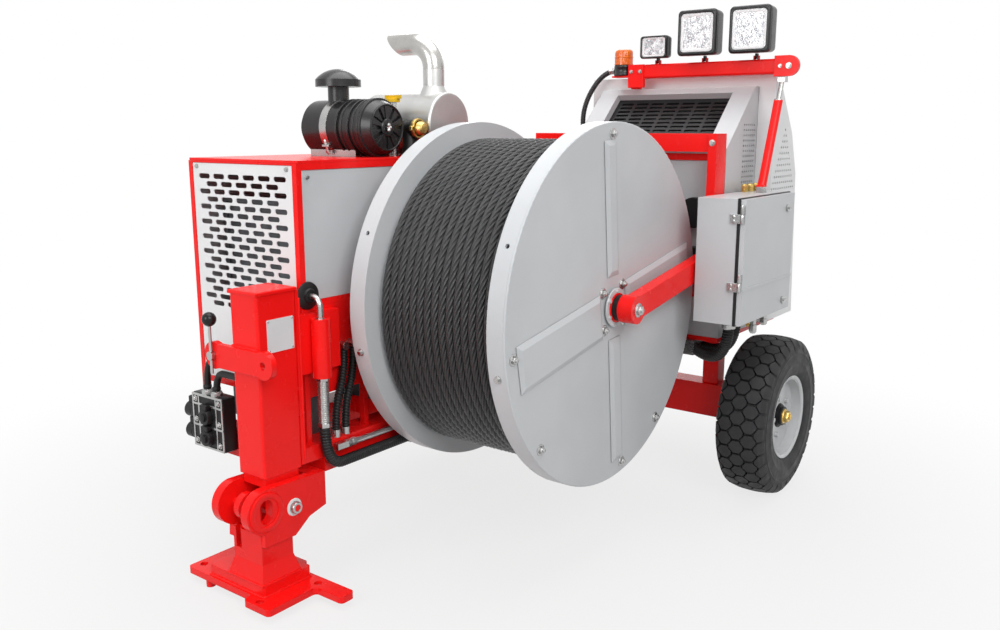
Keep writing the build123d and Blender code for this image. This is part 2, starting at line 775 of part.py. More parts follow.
with BuildPart() as drive_gearbox:
    rod("y", DRUM_AT, GEARBOX_FLANGE_R, (PEDESTAL_FACE_Y, PEDESTAL_FACE_Y + GEARBOX_FLANGE_T))
    rod("y", DRUM_AT, GEARBOX_R, (PEDESTAL_FACE_Y + GEARBOX_FLANGE_T, GEARBOX_END_Y))
    bore_low = GEARBOX_END_Y - SHAFT_ENGAGE - HOLE_CLEAR
    rod("y", DRUM_AT, SHAFT_R + RUN_FIT, (bore_low, GEARBOX_END_Y), mode=Mode.SUBTRACT)
save(drive_gearbox, "drive_gearbox")

with BuildPart() as drive_motor:
    rod("y", DRUM_AT, MOTOR_R, (PEDESTAL_FACE_Y - MOTOR_LONG, PEDESTAL_FACE_Y))
    end_rim = drive_motor.faces().sort_by(Axis.Y)[0].edges()
    fillet(end_rim, BOLT_R)
save(drive_motor, "drive_motor")

# Arm and bearing on the open side
ARM_RUN = DRUM_X - FRAME_FRONT - WELD_GAP
ARM_END_Z = DRUM_Z + ARM_RUN * tan(radians(ARM_RISE))
ARM_HALF = ARM_HIGH / 2 / cos(radians(ARM_RISE))

with BuildPart() as arm_bearing:
    pipe("y", DRUM_AT, STUB_R + RUN_FIT, BEARING_R, (BEARING_Y, ARM_IN_Y))
save(arm_bearing, "arm_bearing")

with BuildPart() as drum_arm:
    arm_end_x = DRUM_X - ARM_RUN
    outline = (
        (DRUM_X, DRUM_Z - ARM_HALF),
        (DRUM_X, DRUM_Z + ARM_HALF),
        (arm_end_x, ARM_END_Z + ARM_HALF),
        (arm_end_x, ARM_END_Z - ARM_HALF),
    )
    sheet_y(outline, (ARM_IN_Y, ARM_OUT_Y))
    rod("y", DRUM_AT, BOSS_R, (ARM_IN_Y, ARM_OUT_Y))
    rod("y", DRUM_AT, STUB_R + RUN_FIT, (ARM_IN_Y, ARM_OUT_Y), mode=Mode.SUBTRACT)
    rod("y", DRUM_AT, BOSS_R, (ARM_OUT_Y, ARM_OUT_Y + DISC_WALL))
    bolt((DRUM_X, ARM_OUT_Y + DISC_WALL, DRUM_Z), (0, 1, 0), BOLT_R)
save(drum_arm, "drum_arm")

# Chassis rails, cross members, deck and axle
RAIL_REAR = AXLE_X + AXLE_BEAM / 2
DECK_TOP = DECK_BOTTOM + DECK_T

with BuildPart() as main_frame:
    for rail_y, rail_front in ((LEFT_RAIL_Y, LEFT_RAIL_FRONT), (RIGHT_RAIL_Y, RIGHT_RAIL_FRONT)):
        rail_span = (rail_y - RAIL / 2, rail_y + RAIL / 2)
        hollow_bar((RAIL_REAR, rail_front), rail_span, (RAIL_TOP - RAIL, RAIL_TOP), RAIL_WALL)
    cross_span = (RIGHT_RAIL_Y + RAIL / 2 + WELD_GAP, LEFT_RAIL_Y - RAIL / 2 - WELD_GAP)
    for x in CROSS_XS:
        cross_x = (x - CROSS_WIDE / 2, x + CROSS_WIDE / 2)
        hollow_bar(cross_x, cross_span, (RAIL_TOP - CROSS_WIDE, RAIL_TOP), BAR_WALL)
    for x in (HOUSE_REAR + HOUSE_BAR / 2, HOUSE_FRONT - HOUSE_BAR / 2):
        arm_x = (x - HOUSE_BAR / 2, x + HOUSE_BAR / 2)
        block(arm_x, (HOUSE_RIGHT, RIGHT_RAIL_Y - RAIL / 2 - WELD_GAP), (RAIL_TOP - HOUSE_BAR, RAIL_TOP))
    block((DECK_REAR, DECK_FRONT), HOOD_Y, (DECK_BOTTOM, DECK_TOP))
    for y in DECK_POST_YS:
        post_x = (AXLE_X - DECK_POST / 2, AXLE_X + DECK_POST / 2)
        post_y = (y - DECK_POST / 2, y + DECK_POST / 2)
        hollow_bar(post_x, post_y, (AXLE_BEAM_TOP, DECK_BOTTOM - WELD_GAP), BAR_WALL)
save(main_frame, "main_frame")

AXLE_AT = (AXLE_X, WHEEL_R)

with BuildPart() as axle_beam:
    beam_x = (AXLE_X - AXLE_BEAM / 2, AXLE_X + AXLE_BEAM / 2)
    hollow_bar(beam_x, (-AXLE_BEAM_HALF, AXLE_BEAM_HALF), (AXLE_BEAM_LOW, AXLE_BEAM_TOP), RAIL_WALL)
    for side in (-1, 1):
        ends = sorted((side * AXLE_BEAM_HALF, side * SPINDLE_END))
        rod("y", AXLE_AT, SPINDLE_R, ends)
save(axle_beam, "axle_beam")

# Wheels: profiles of axial place and radius, turned about the spindle
TYRE_HALF = TYRE_WIDE / 2
WHEEL_MID_Y = WHEEL_FACE_Y - TYRE_HALF
BEAD_OUT = TYRE_HALF - TYRE_WALL
SIDE_R = RIM_R + (WHEEL_R - RIM_R) / 3
TREAD_HALF = TYRE_HALF - TYRE_WALL
HUB_SPAN = (WHEEL_MID_Y - TYRE_HALF + RIM_SHEET, SPINDLE_END + RIM_DISC_T)


def turned(points, side):
    """A closed profile turned about one wheel's spindle."""
    with BuildSketch(Plane(origin=(AXLE_X, 0, WHEEL_R), x_dir=(0, side, 0), z_dir=(side, 0, 0))) as profile:
        Polygon(*points, align=None)
    revolve(profile.sketch, axis=Axis((AXLE_X, 0, WHEEL_R), (0, 1, 0)))


for side, name in ((1, "left"), (-1, "right")):
    with BuildPart() as tyre:
        outer_half = (
            (BEAD_OUT, RIM_R),
            (TYRE_HALF, SIDE_R),
            (TYRE_HALF, WHEEL_R - TYRE_SHOULDER),
            (TREAD_HALF, WHEEL_R),
        )
        inner_half = (
            (BEAD_OUT - TYRE_BEAD, RIM_R),
            (TYRE_HALF - TYRE_WALL, SIDE_R),
            (TYRE_HALF - TYRE_WALL, WHEEL_R - TYRE_SHOULDER),
            (TREAD_HALF - TYRE_WALL, WHEEL_R - TYRE_WALL),
        )
        ring = [(WHEEL_MID_Y + y, r) for y, r in outer_half]
        ring += [(WHEEL_MID_Y - y, r) for y, r in reversed(outer_half)]
        ring += [(WHEEL_MID_Y - y, r) for y, r in inner_half]
        ring += [(WHEEL_MID_Y + y, r) for y, r in reversed(inner_half)]
        turned(ring, side)
    save(tyre, f"{name}_tyre")

    with BuildPart() as rim:
        disc_out = WHEEL_FACE_Y - RIM_DISH_IN
        barrel = (
            (WHEEL_MID_Y - BEAD_OUT, RIM_R - RIM_SHEET),
            (WHEEL_MID_Y - BEAD_OUT, RIM_R),
            (WHEEL_MID_Y + BEAD_OUT, RIM_R),
            (WHEEL_MID_Y + BEAD_OUT, RIM_R - RIM_SHEET),
        )
        turned(barrel, side)
        disc = (
            (disc_out - RIM_DISC_T, 0),
            (disc_out - RIM_DISC_T - RIM_SHEET, RIM_R - RIM_SHEET / 2),
            (disc_out - RIM_SHEET, RIM_R - RIM_SHEET / 2),
            (disc_out, 0),
        )
        turned(disc, side)
        rod("y", AXLE_AT, WHEEL_HUB_R, sorted(side * y for y in HUB_SPAN))
        bore = (HUB_SPAN[0], SPINDLE_END + HOLE_CLEAR)
        rod("y", AXLE_AT, SPINDLE_R + RUN_FIT, sorted(side * y for y in bore), mode=Mode.SUBTRACT)
        for k in range(LUG_COUNT):
            turn = 2 * pi * k / LUG_COUNT
            lug = (AXLE_X + LUG_CIRCLE_R * cos(turn), WHEEL_R + LUG_CIRCLE_R * sin(turn))
            rod("y", lug, LUG_R, sorted((side * (disc_out - RIM_DISC_T), side * (disc_out + LUG_R))))
        bolt((AXLE_X, side * HUB_SPAN[1], WHEEL_R), (0, side, 0), 2 * LUG_R)
    save(rim, f"{name}_rim")

# Support leg: column with jack barrel and crossbar, nameplate, inner leg
LEG_MID_X = (LEG_X[0] + LEG_X[1]) / 2
LEG_MID_Y = (LEG_Y[0] + LEG_Y[1]) / 2
LEG_CAP_Z = LEG_Z[1] - LEG_CAP_T
CROSSBAR_X = (LEG_X[1], LEG_X[1] + CROSSBAR_T)
RIGHT_EYE_Y = LEG_Y[1] + RIGHT_EYE_OUT
LEFT_EYE_Y = LEG_Y[0] - LEFT_EYE_OUT

with BuildPart() as leg_column:
    block(LEG_X, LEG_Y, LEG_Z)
    fillet(leg_column.edges().filter_by(Axis.Z), LEG_WALL)
    bore_x = (LEG_X[0] + LEG_WALL, LEG_X[1] - LEG_WALL)
    bore_y = (LEG_Y[0] + LEG_WALL, LEG_Y[1] - LEG_WALL)
    lip = [(low - LEG_LIP, high + LEG_LIP) for low, high in (LEG_X, LEG_Y)]
    block(*lip, (LEG_Z[1] - LEG_LIP_T, LEG_Z[1]))
    fillet(leg_column.faces().sort_by(Axis.Z)[-1].edges(), LEG_LIP)
    block(bore_x, bore_y, (LEG_Z[0], LEG_CAP_Z), mode=Mode.SUBTRACT)
    pipe("z", (LEG_MID_X, LEG_MID_Y), JACK_ROD_R + RUN_FIT, JACK_R, (JACK_LOW, LEG_CAP_Z))
    bar_z = (CROSSBAR_Z - CROSSBAR_HIGH / 2, CROSSBAR_Z + CROSSBAR_HIGH / 2)
    block(CROSSBAR_X, (LEFT_EYE_Y, RIGHT_EYE_Y), bar_z)
    for y in (LEFT_EYE_Y, RIGHT_EYE_Y):
        rod("x", (y, CROSSBAR_Z), EYE_R, CROSSBAR_X)
        rod("x", (y, CROSSBAR_Z), EYE_BORE_R, CROSSBAR_X, mode=Mode.SUBTRACT)
save(leg_column, "leg_column")

with BuildPart() as nameplate:
    block(NAMEPLATE_X, (LEG_Y[1], LEG_Y[1] + NAMEPLATE_T), NAMEPLATE_Z)
    fillet(nameplate.edges().filter_by(Axis.Y), SHEET)
save(nameplate, "nameplate")

with BuildPart() as leg_inner:
    inner_x = (bore_x[0] + LEG_SLIDE_GAP, bore_x[1] - LEG_SLIDE_GAP)
    inner_y = (bore_y[0] + LEG_SLIDE_GAP, bore_y[1] - LEG_SLIDE_GAP)
    floor_z = INNER_LOW + LEG_CAP_T
    block(inner_x, inner_y, (INNER_LOW, INNER_TOP))
    hollow_x = (inner_x[0] + LEG_WALL, inner_x[1] - LEG_WALL)
    hollow_y = (inner_y[0] + LEG_WALL, inner_y[1] - LEG_WALL)
    block(hollow_x, hollow_y, (floor_z, INNER_TOP), mode=Mode.SUBTRACT)
    rod("z", (LEG_MID_X, LEG_MID_Y), JACK_ROD_R, (floor_z, LEG_CAP_Z - ROD_TOP_GAP))
    lug_y = (LEG_MID_Y - LUG_HALF, LEG_MID_Y + LUG_HALF)
    block((PIVOT_X - LUG_ROUND_R, PIVOT_X + LUG_ROUND_R), lug_y, (PIVOT_Z, INNER_LOW))
    rod("y", (PIVOT_X, PIVOT_Z), LUG_ROUND_R, lug_y)
    rod("y", (PIVOT_X, PIVOT_Z), PIVOT_R + RUN_FIT, lug_y, mode=Mode.SUBTRACT)
save(leg_inner, "leg_inner")

# Tilting foot: cheeks with ears, pins, waist and a base with four tongues
CHEEK_IN_Y = (inner_y[0] - CHEEK_GAP, inner_y[1] + CHEEK_GAP)
FOOT_Y = (CHEEK_IN_Y[0] - CHEEK_T, CHEEK_IN_Y[1] + CHEEK_T)
WAIST_Y = (FOOT_Y[0] + WAIST_IN[0], FOOT_Y[1] - WAIST_IN[1])
BASE_TOP = STUD_HIGH + BASE_T
SLAB_TOP = BASE_TOP + SLAB_T

with BuildPart() as foot:
    base_z = (STUD_HIGH, BASE_TOP)
    block(BASE_X, BASE_Y, base_z)
    block((BASE_X[1], BASE_X[1] + TONGUE_OUT_FRONT), FRONT_TONGUE_Y, base_z)
    block((BASE_X[0] - TONGUE_OUT_REAR, BASE_X[0]), REAR_TONGUE_Y, base_z)
    block(LEFT_TONGUE_X, (BASE_Y[1], BASE_Y[1] + TONGUE_OUT_LEFT), base_z)
    fillet(foot.edges().filter_by(Axis.Z), TONGUE_ROUND)
    block(SLAB_X, SLAB_Y, (BASE_TOP, SLAB_TOP))
    fillet(foot.edges().filter_by(Axis.Z).filter_by_position(Axis.Z, BASE_TOP, SLAB_TOP), SLAB_ROUND)
    with BuildSketch(Plane.XY.offset(SLAB_TOP)):
        with Locations(((WAIST_X[0] + WAIST_X[1]) / 2, (WAIST_Y[0] + WAIST_Y[1]) / 2)):
            Rectangle(WAIST_X[1] - WAIST_X[0] + 2 * COLLAR_OUT, WAIST_Y[1] - WAIST_Y[0] + 2 * COLLAR_OUT)
    extrude(amount=COLLAR_HIGH, taper=degrees(atan2(COLLAR_OUT, COLLAR_HIGH)))
    block(WAIST_X, WAIST_Y, (BASE_TOP, WAIST_TOP))
    for x in STUD_XS:
        for y in STUD_YS:
            rod("z", (x, y), STUD_R, (0, STUD_HIGH))
    cheek = (
        (CHEEK_REAR, CHEEK_TOP),
        (CHEEK_REAR, CHEEK_REAR_LOW),
        CHEEK_KNEE,
        (WAIST_X[0], WAIST_TOP - EAR_R / 2),
        (WAIST_X[1], WAIST_TOP - EAR_R / 2),
        (EAR_X, EAR_Z + EAR_R),
    )
    for cheek_y in ((FOOT_Y[0], CHEEK_IN_Y[0]), (CHEEK_IN_Y[1], FOOT_Y[1])):
        sheet_y(cheek, cheek_y)
        rod("y", (EAR_X, EAR_Z), EAR_R, cheek_y)
    block((CHEEK_REAR, TOP_PLATE_FRONT), FOOT_Y, (CHEEK_TOP - TOP_PLATE_T, CHEEK_TOP))
    block((CHEEK_REAR, CHEEK_REAR + TOP_PLATE_T), FOOT_Y, (CHEEK_REAR_LOW, CHEEK_TOP))
    rod("y", (EAR_X, EAR_Z), MID_EAR_R, MID_EAR_Y)
    block((EAR_X - MID_EAR_R, EAR_X), MID_EAR_Y, (WAIST_TOP, EAR_Z))
    rod("y", (PIVOT_X, PIVOT_Z), PIVOT_R, FOOT_Y)
    rod("y", (EAR_X, EAR_Z), ANCHOR_R, (FOOT_Y[0], MID_EAR_Y[1]))
    with BuildSketch(Plane.XZ.offset(-FOOT_Y[1])):
        with Locations((EAR_X, EAR_Z)):
            SlotOverall(EAR_SLOT[1], EAR_SLOT[0], rotation=90)
    extrude(amount=CHEEK_T, mode=Mode.SUBTRACT)
    hollow = [(low + WAIST_WALL, high - WAIST_WALL) for low, high in (WAIST_X, WAIST_Y)]
    block(*hollow, (BASE_TOP, WAIST_TOP - WAIST_WALL), mode=Mode.SUBTRACT)
    slot_y = (FOOT_Y[0] + CHEEK_T, FOOT_Y[0] + CHEEK_T + WAIST_SLOT[0])
    slot_z = (WAIST_TOP - WAIST_SLOT[1], WAIST_TOP)
    block((WAIST_X[1] - WAIST_WALL, WAIST_X[1]), slot_y, slot_z, mode=Mode.SUBTRACT)
    for spot in STAKES:
        rod("z", spot, STAKE_R, base_z, mode=Mode.SUBTRACT)
    bolt((PIVOT_X, FOOT_Y[1], PIVOT_Z), (0, 1, 0), PIVOT_R)
save(foot, "foot")

# Lock lever on the left eye of the crossbar
with BuildPart() as lock_lever:
    hub_x = (CROSSBAR_X[1] + BODY_GAP, CROSSBAR_X[1] + BODY_GAP + HANDLE_HUB_T)
    hub_mid_x = (hub_x[0] + hub_x[1]) / 2
    eye_at = (LEFT_EYE_Y, CROSSBAR_Z)
    back_x = CROSSBAR_X[0] - BODY_GAP
    rod("x", eye_at, HANDLE_HUB_R, hub_x)
    rod("x", eye_at, EYE_BORE_R - RUN_FIT, (back_x, hub_x[0]))
    rod("x", eye_at, HANDLE_HUB_R, (back_x - WASHER_T, back_x))
    rod("z", (hub_mid_x, LEFT_EYE_Y), HANDLE_ROD_R, (CROSSBAR_Z - HANDLE_LOW, CROSSBAR_Z + HANDLE_HIGH))
    with Locations((hub_mid_x, LEFT_EYE_Y, CROSSBAR_Z + HANDLE_HIGH + HANDLE_KNOB_R - HANDLE_ROD_R)):
        Sphere(HANDLE_KNOB_R)
save(lock_lever, "lock_lever")

# Mount plate and hose sleeve between the chassis and the leg
with BuildPart() as front_bracket:
    mount_x = (LEG_X[0] - MOUNT_T, LEG_X[0])
    block(mount_x, LEG_Y, (LEG_Z[0] + NECK_RISE, LEG_CAP_Z))
    neck_y = (LEFT_RAIL_Y - RAIL / 2, LEFT_RAIL_Y + RAIL / 2)
    block((LEFT_RAIL_FRONT + WELD_GAP, mount_x[0]), neck_y, (LEG_Z[0] + NECK_RISE, RAIL_TOP))
    sleeve_at = (SLEEVE_X, HOSE_Y)
    sleeve_block_y = (HOUSE_LEFT + BODY_GAP, HOSE_Y - SLEEVE_R + SHEET)
    block((SLEEVE_BLOCK_X, mount_x[0] - WELD_GAP), sleeve_block_y, SLEEVE_BLOCK_Z)
    pipe("z", sleeve_at, GUARD_TUBE_R + HOLE_CLEAR, SLEEVE_R, SLEEVE_Z)
save(front_bracket, "front_bracket")

# Engine house: red frame bars and roof
BAR_TOP = HOUSE_TOP - ROOF_T - WELD_GAP
LEFT_POST_Y = (HOUSE_LEFT - HOUSE_BAR, HOUSE_LEFT)
RIGHT_POST_Y = (HOUSE_RIGHT, HOUSE_RIGHT + HOUSE_BAR)
REAR_POST_X = (HOUSE_REAR, HOUSE_REAR + HOUSE_BAR)
FRONT_POST_X = (HOUSE_FRONT - HOUSE_BAR, HOUSE_FRONT)
BAY_X = (REAR_POST_X[1] + WELD_GAP, FRONT_POST_X[0] - WELD_GAP)
BAY_Y = (RIGHT_POST_Y[1] + WELD_GAP, LEFT_POST_Y[0] - WELD_GAP)
TOP_BAR_Z = (BAR_TOP - HOUSE_BAR, BAR_TOP)
LIP_Z = (BAR_TOP - FRONT_LIP, BAR_TOP)
LOW_BAR_Z = (PANEL_LOW - HOUSE_BAR, PANEL_LOW)
SIDE_BAR_Z = (SIDE_PANEL_LOW - HOUSE_BAR, SIDE_PANEL_LOW)
SIDE_BAR_X = (SIDE_PLATE_X, BAY_X[1])

with BuildPart() as housing_frame:
    block((HOUSE_REAR, HOUSE_FRONT), (HOUSE_RIGHT, HOUSE_LEFT), (HOUSE_TOP - ROOF_T, HOUSE_TOP))
    fillet(housing_frame.edges().filter_by(Axis.Z), ROOF_T)
    for post_x in (REAR_POST_X, FRONT_POST_X):
        for post_y in (LEFT_POST_Y, RIGHT_POST_Y):
            block(post_x, post_y, (RAIL_TOP, BAR_TOP))
        block(post_x, BAY_Y, LIP_Z)
        block(post_x, BAY_Y, LOW_BAR_Z)
    block(BAY_X, LEFT_POST_Y, TOP_BAR_Z)
    block(BAY_X, RIGHT_POST_Y, TOP_BAR_Z)
    block(BAY_X, RIGHT_POST_Y, LOW_BAR_Z)
    block(SIDE_BAR_X, LEFT_POST_Y, SIDE_BAR_Z)
    side_post_x = (SIDE_PLATE_X, SIDE_PLATE_X + HOUSE_BAR)
    block(side_post_x, LEFT_POST_Y, (RAIL_TOP, SIDE_BAR_Z[0] - WELD_GAP))
    side_plate_x = (side_post_x[1] + WELD_GAP, BAY_X[1])
    block(side_plate_x, (HOUSE_LEFT - SHEET, HOUSE_LEFT), (LOW_BAR_Z[1], SIDE_BAR_Z[0] - WELD_GAP))
save(housing_frame, "housing_frame")

PANEL_Z = (PANEL_LOW + PANEL_GAP, TOP_BAR_Z[0] - PANEL_GAP)
PANEL_Y = (RIGHT_POST_Y[1] + PANEL_GAP, LEFT_POST_Y[0] - PANEL_GAP)
PANEL_X = (REAR_POST_X[1] + PANEL_GAP, FRONT_POST_X[0] - PANEL_GAP)
FRONT_PANEL_Z = (PANEL_Z[0], LIP_Z[0] - PANEL_GAP)
PANEL_FACE_X = HOUSE_FRONT - PANEL_INSET
PANEL_MID_Y = (PANEL_Y[0] + PANEL_Y[1]) / 2

with BuildPart() as front_grille:
    block((PANEL_FACE_X - SHEET, PANEL_FACE_X), PANEL_Y, FRONT_PANEL_Z)
    rows_each = SLOT_ROWS // 2
    top_row_z = FRONT_PANEL_Z[1] - SLOT_TOP_DROP
    for shift, count in ((0, SLOT_PER_ROW), (1, SLOT_PER_ROW - 1)):
        rows_mid_z = top_row_z - (rows_each - 1 + shift) * SLOT_PITCH_Z
        rows_plane = Plane(origin=(PANEL_FACE_X, PANEL_MID_Y, rows_mid_z), x_dir=(0, 1, 0), z_dir=(1, 0, 0))
        with BuildSketch(rows_plane):
            with GridLocations(SLOT_PITCH_Y, 2 * SLOT_PITCH_Z, count, rows_each):
                SlotOverall(SLOT_LONG, SLOT_HIGH)
        extrude(amount=-SHEET, mode=Mode.SUBTRACT)
save(front_grille, "front_grille")

with BuildPart() as housing_panels:
    left_face = HOUSE_LEFT - PANEL_INSET
    block(PANEL_X, (left_face - SHEET, left_face), (SIDE_PANEL_LOW + PANEL_GAP, PANEL_Z[1]))
    rod("y", DRUM_AT, MOTOR_NOTCH_R, (left_face - SHEET, left_face), mode=Mode.SUBTRACT)
    right_face = HOUSE_RIGHT + PANEL_INSET
    block(PANEL_X, (right_face, right_face + SHEET), PANEL_Z)
    rear_face = HOUSE_REAR + PANEL_INSET
    block((rear_face, rear_face + SHEET), PANEL_Y, PANEL_Z)
save(housing_panels, "housing_panels")

# Engine with pump, radiator and fan inside the house
FAN_Y = (ENGINE_Y[0] + ENGINE_Y[1]) / 2
FAN_AT = (FAN_Y, FAN_Z)
RADIATOR_X = (CROSS_XS[-1] - CROSS_WIDE / 2, CROSS_XS[-1] + CROSS_WIDE / 2)
FAN_HUB_X = (RADIATOR_X[0] - RADIATOR_GAP - FAN_HUB_LONG, RADIATOR_X[0] - RADIATOR_GAP)

with BuildPart() as engine_block:
    block(ENGINE_X, ENGINE_Y, (RAIL_TOP, ENGINE_TOP))
    head_x = (ENGINE_X[0] + HEAD_INSET, ENGINE_X[1] - HEAD_INSET)
    head_y = (ENGINE_Y[0] + HEAD_INSET, ENGINE_Y[1] - HEAD_INSET)
    block(head_x, head_y, (ENGINE_TOP, ENGINE_TOP + HEAD_HIGH))
    rod("x", (FAN_Y, PUMP_Z), PUMP_R, (ENGINE_X[0] - PUMP_LONG, ENGINE_X[0]))
    shaft_bore = (ENGINE_X[1] - FAN_SHAFT_IN - HOLE_CLEAR, ENGINE_X[1])
    rod("x", FAN_AT, FAN_SHAFT_R + RUN_FIT, shaft_bore, mode=Mode.SUBTRACT)
save(engine_block, "engine_block")

with BuildPart() as radiator:
    block(RADIATOR_X, RADIATOR_Y, (RAIL_TOP, RADIATOR_TOP))
    core_y = (RADIATOR_Y[0] + HOUSE_BAR, RADIATOR_Y[1] - HOUSE_BAR)
    core_z = (RAIL_TOP + HOUSE_BAR, RADIATOR_TOP - HOUSE_BAR)
    block((RADIATOR_X[1] - ROOF_T, RADIATOR_X[1]), core_y, core_z, mode=Mode.SUBTRACT)
    block((RADIATOR_X[0], RADIATOR_X[0] + ROOF_T), core_y, core_z, mode=Mode.SUBTRACT)
save(radiator, "radiator")

with BuildPart() as cooling_fan:
    rod("x", FAN_AT, FAN_SHAFT_R, (ENGINE_X[1] - FAN_SHAFT_IN, FAN_HUB_X[0]))
    rod("x", FAN_AT, FAN_HUB_R, FAN_HUB_X)
    blade_long = FAN_R - FAN_HUB_R / 2
    fan_plane = Plane(origin=((FAN_HUB_X[0] + FAN_HUB_X[1]) / 2, FAN_Y, FAN_Z), z_dir=(1, 0, 0))
    with Locations(fan_plane):
        with PolarLocations(FAN_R - blade_long / 2, BLADE_COUNT):
            Box(blade_long, BLADE_WIDE, BLADE_T, rotation=(BLADE_PITCH, 0, 0))
save(cooling_fan, "cooling_fan")

with BuildPart() as oil_tank:
    hollow_bar(TANK_X, TANK_Y, (RAIL_TOP, TANK_TOP), TANK_WALL)
save(oil_tank, "oil_tank")

# Air filter, its cover and rain cap on the roof
FILTER_AT = (FILTER_X, FILTER_Z)
STRAP_SPAN = (STRAP_Y - STRAP_WIDE / 2, STRAP_Y + STRAP_WIDE / 2)
FILTER_FACE_Y = FILTER_Y[1] + FILTER_CAP_LONG

with BuildPart() as air_filter_body:
    rod("y", FILTER_AT, FILTER_R, FILTER_Y)
    for y in FILTER_GROOVE_YS:
        groove = (y - FILTER_GROOVE_WIDE / 2, y + FILTER_GROOVE_WIDE / 2)
        pipe("y", FILTER_AT, FILTER_R - FILTER_GROOVE, FILTER_R, groove, mode=Mode.SUBTRACT)
    rod("y", FILTER_AT, FILTER_STUB_R, (FILTER_Y[0] - FILTER_STUB_LONG, FILTER_Y[0]))
    inside = (FILTER_Y[0] + SHELL_WALL, FILTER_Y[1] - SHELL_WALL)
    rod("y", FILTER_AT, FILTER_R - FILTER_GROOVE - SHELL_WALL, inside, mode=Mode.SUBTRACT)
save(air_filter_body, "air_filter_body")

with BuildPart() as air_filter_cover:
    with BuildSketch(Plane(origin=(FILTER_X, FILTER_Y[1], FILTER_Z), z_dir=(0, 1, 0))):
        Circle(FILTER_R)
    extrude(amount=FILTER_CAP_LONG, taper=degrees(atan2(FILTER_R - FILTER_CAP_FACE_R, FILTER_CAP_LONG)))
    with BuildSketch(Plane(origin=(FILTER_X, FILTER_FACE_Y, FILTER_Z), z_dir=(0, 1, 0))):
        with PolarLocations((CAP_GROOVE_R[0] + CAP_GROOVE_R[1]) / 2, CAP_GROOVE_COUNT):
            Rectangle(CAP_GROOVE_R[1] - CAP_GROOVE_R[0], CAP_GROOVE_WIDE)
    extrude(amount=-CAP_GROOVE_DEEP, mode=Mode.SUBTRACT)
    bolt((FILTER_X, FILTER_FACE_Y, FILTER_Z), (0, 1, 0), SMALL_BOLT_R)
save(air_filter_cover, "air_filter_cover")

with BuildPart() as rain_cap:
    rain_at = (FILTER_X, RAIN_Y)
    rod("z", rain_at, RAIN_NECK_R, (FILTER_Z, RAIN_LOW))
    rod("y", FILTER_AT, FILTER_R, FILTER_Y, mode=Mode.SUBTRACT)
    dome_rise = RAIN_HIGH - RAIN_SKIRT
    dome_r = (RAIN_R ** 2 + dome_rise ** 2) / (2 * dome_rise)
    half_turn = asin(RAIN_R / dome_r) / 2
    rim_spot = (RAIN_R, RAIN_LOW + RAIN_SKIRT)
    crown_spot = (0, RAIN_LOW + RAIN_HIGH)
    mid_spot = (dome_r * sin(half_turn), RAIN_LOW + RAIN_HIGH - dome_r * (1 - cos(half_turn)))
    with BuildSketch(Plane(origin=(*rain_at, 0), x_dir=(1, 0, 0), z_dir=(0, -1, 0))):
        with BuildLine():
            Polyline((0, RAIN_LOW + RAIN_HIGH), (0, RAIN_LOW), (RAIN_R, RAIN_LOW), rim_spot)
            ThreePointArc(rim_spot, mid_spot, crown_spot)
        make_face()
    revolve(axis=Axis((*rain_at, 0), (0, 0, 1)))
save(rain_cap, "rain_cap")

# Silencer, exhaust elbow, intake hose and filler cap
with BuildPart() as muffler:
    muffler_at = (MUFFLER_X, MUFFLER_Z)
    rod("y", muffler_at, MUFFLER_R, MUFFLER_Y)
    fillet(muffler.edges().filter_by(GeomType.CIRCLE), MUFFLER_END_R)
    riser_at = (MUFFLER_X, RISER_Y)
    rod("z", riser_at, RISER_R, (MUFFLER_Z, RISER_TOP))
    collar_z = MUFFLER_Z + MUFFLER_R - RISER_COLLAR_DROP
    with Locations((MUFFLER_X, RISER_Y, collar_z + RISER_COLLAR_HIGH / 2)):
        Cone(RISER_COLLAR_R, RISER_R, RISER_COLLAR_HIGH)
    inside = (MUFFLER_Y[0] + MUFFLER_END_R, MUFFLER_Y[1] - MUFFLER_END_R)
    rod("y", muffler_at, MUFFLER_R - SHELL_WALL, inside, mode=Mode.SUBTRACT)
    rod("z", riser_at, RISER_R - PIPE_WALL, (MUFFLER_Z + MUFFLER_R, RISER_TOP), mode=Mode.SUBTRACT)
    foot_x = (MUFFLER_X - MUFFLER_FOOT_HALF, MUFFLER_X + MUFFLER_FOOT_HALF)
    for y in MUFFLER_FOOT_YS:
        foot_y = (y - MUFFLER_FOOT_WIDE / 2, y + MUFFLER_FOOT_WIDE / 2)
        block(foot_x, foot_y, (HOUSE_TOP, MUFFLER_Z - MUFFLER_FOOT_HALF))
save(muffler, "muffler")

with BuildPart() as exhaust_elbow:
    with BuildLine() as elbow_route:
        FilletPolyline(
            (MUFFLER_X, RISER_Y, RISER_TOP),
            (MUFFLER_X, RISER_Y, ELBOW_AXIS_Z),
            (MUFFLER_X, ELBOW_TIP_TOP - RISER_R, ELBOW_AXIS_Z),
            radius=ELBOW_R,
        )
    with BuildSketch(Plane(origin=(MUFFLER_X, RISER_Y, RISER_TOP))):
        Circle(RISER_R)
        Circle(RISER_R - PIPE_WALL, mode=Mode.SUBTRACT)
    sweep(path=elbow_route.line)
    tip = (MUFFLER_X, ELBOW_TIP_TOP, ELBOW_AXIS_Z + RISER_R)
    slant = (0, -2 * RISER_R, ELBOW_TIP_TOP - ELBOW_TIP_LOW)
    split(bisect_by=Plane(origin=tip, z_dir=slant), keep=Keep.BOTTOM)
save(exhaust_elbow, "exhaust_elbow")

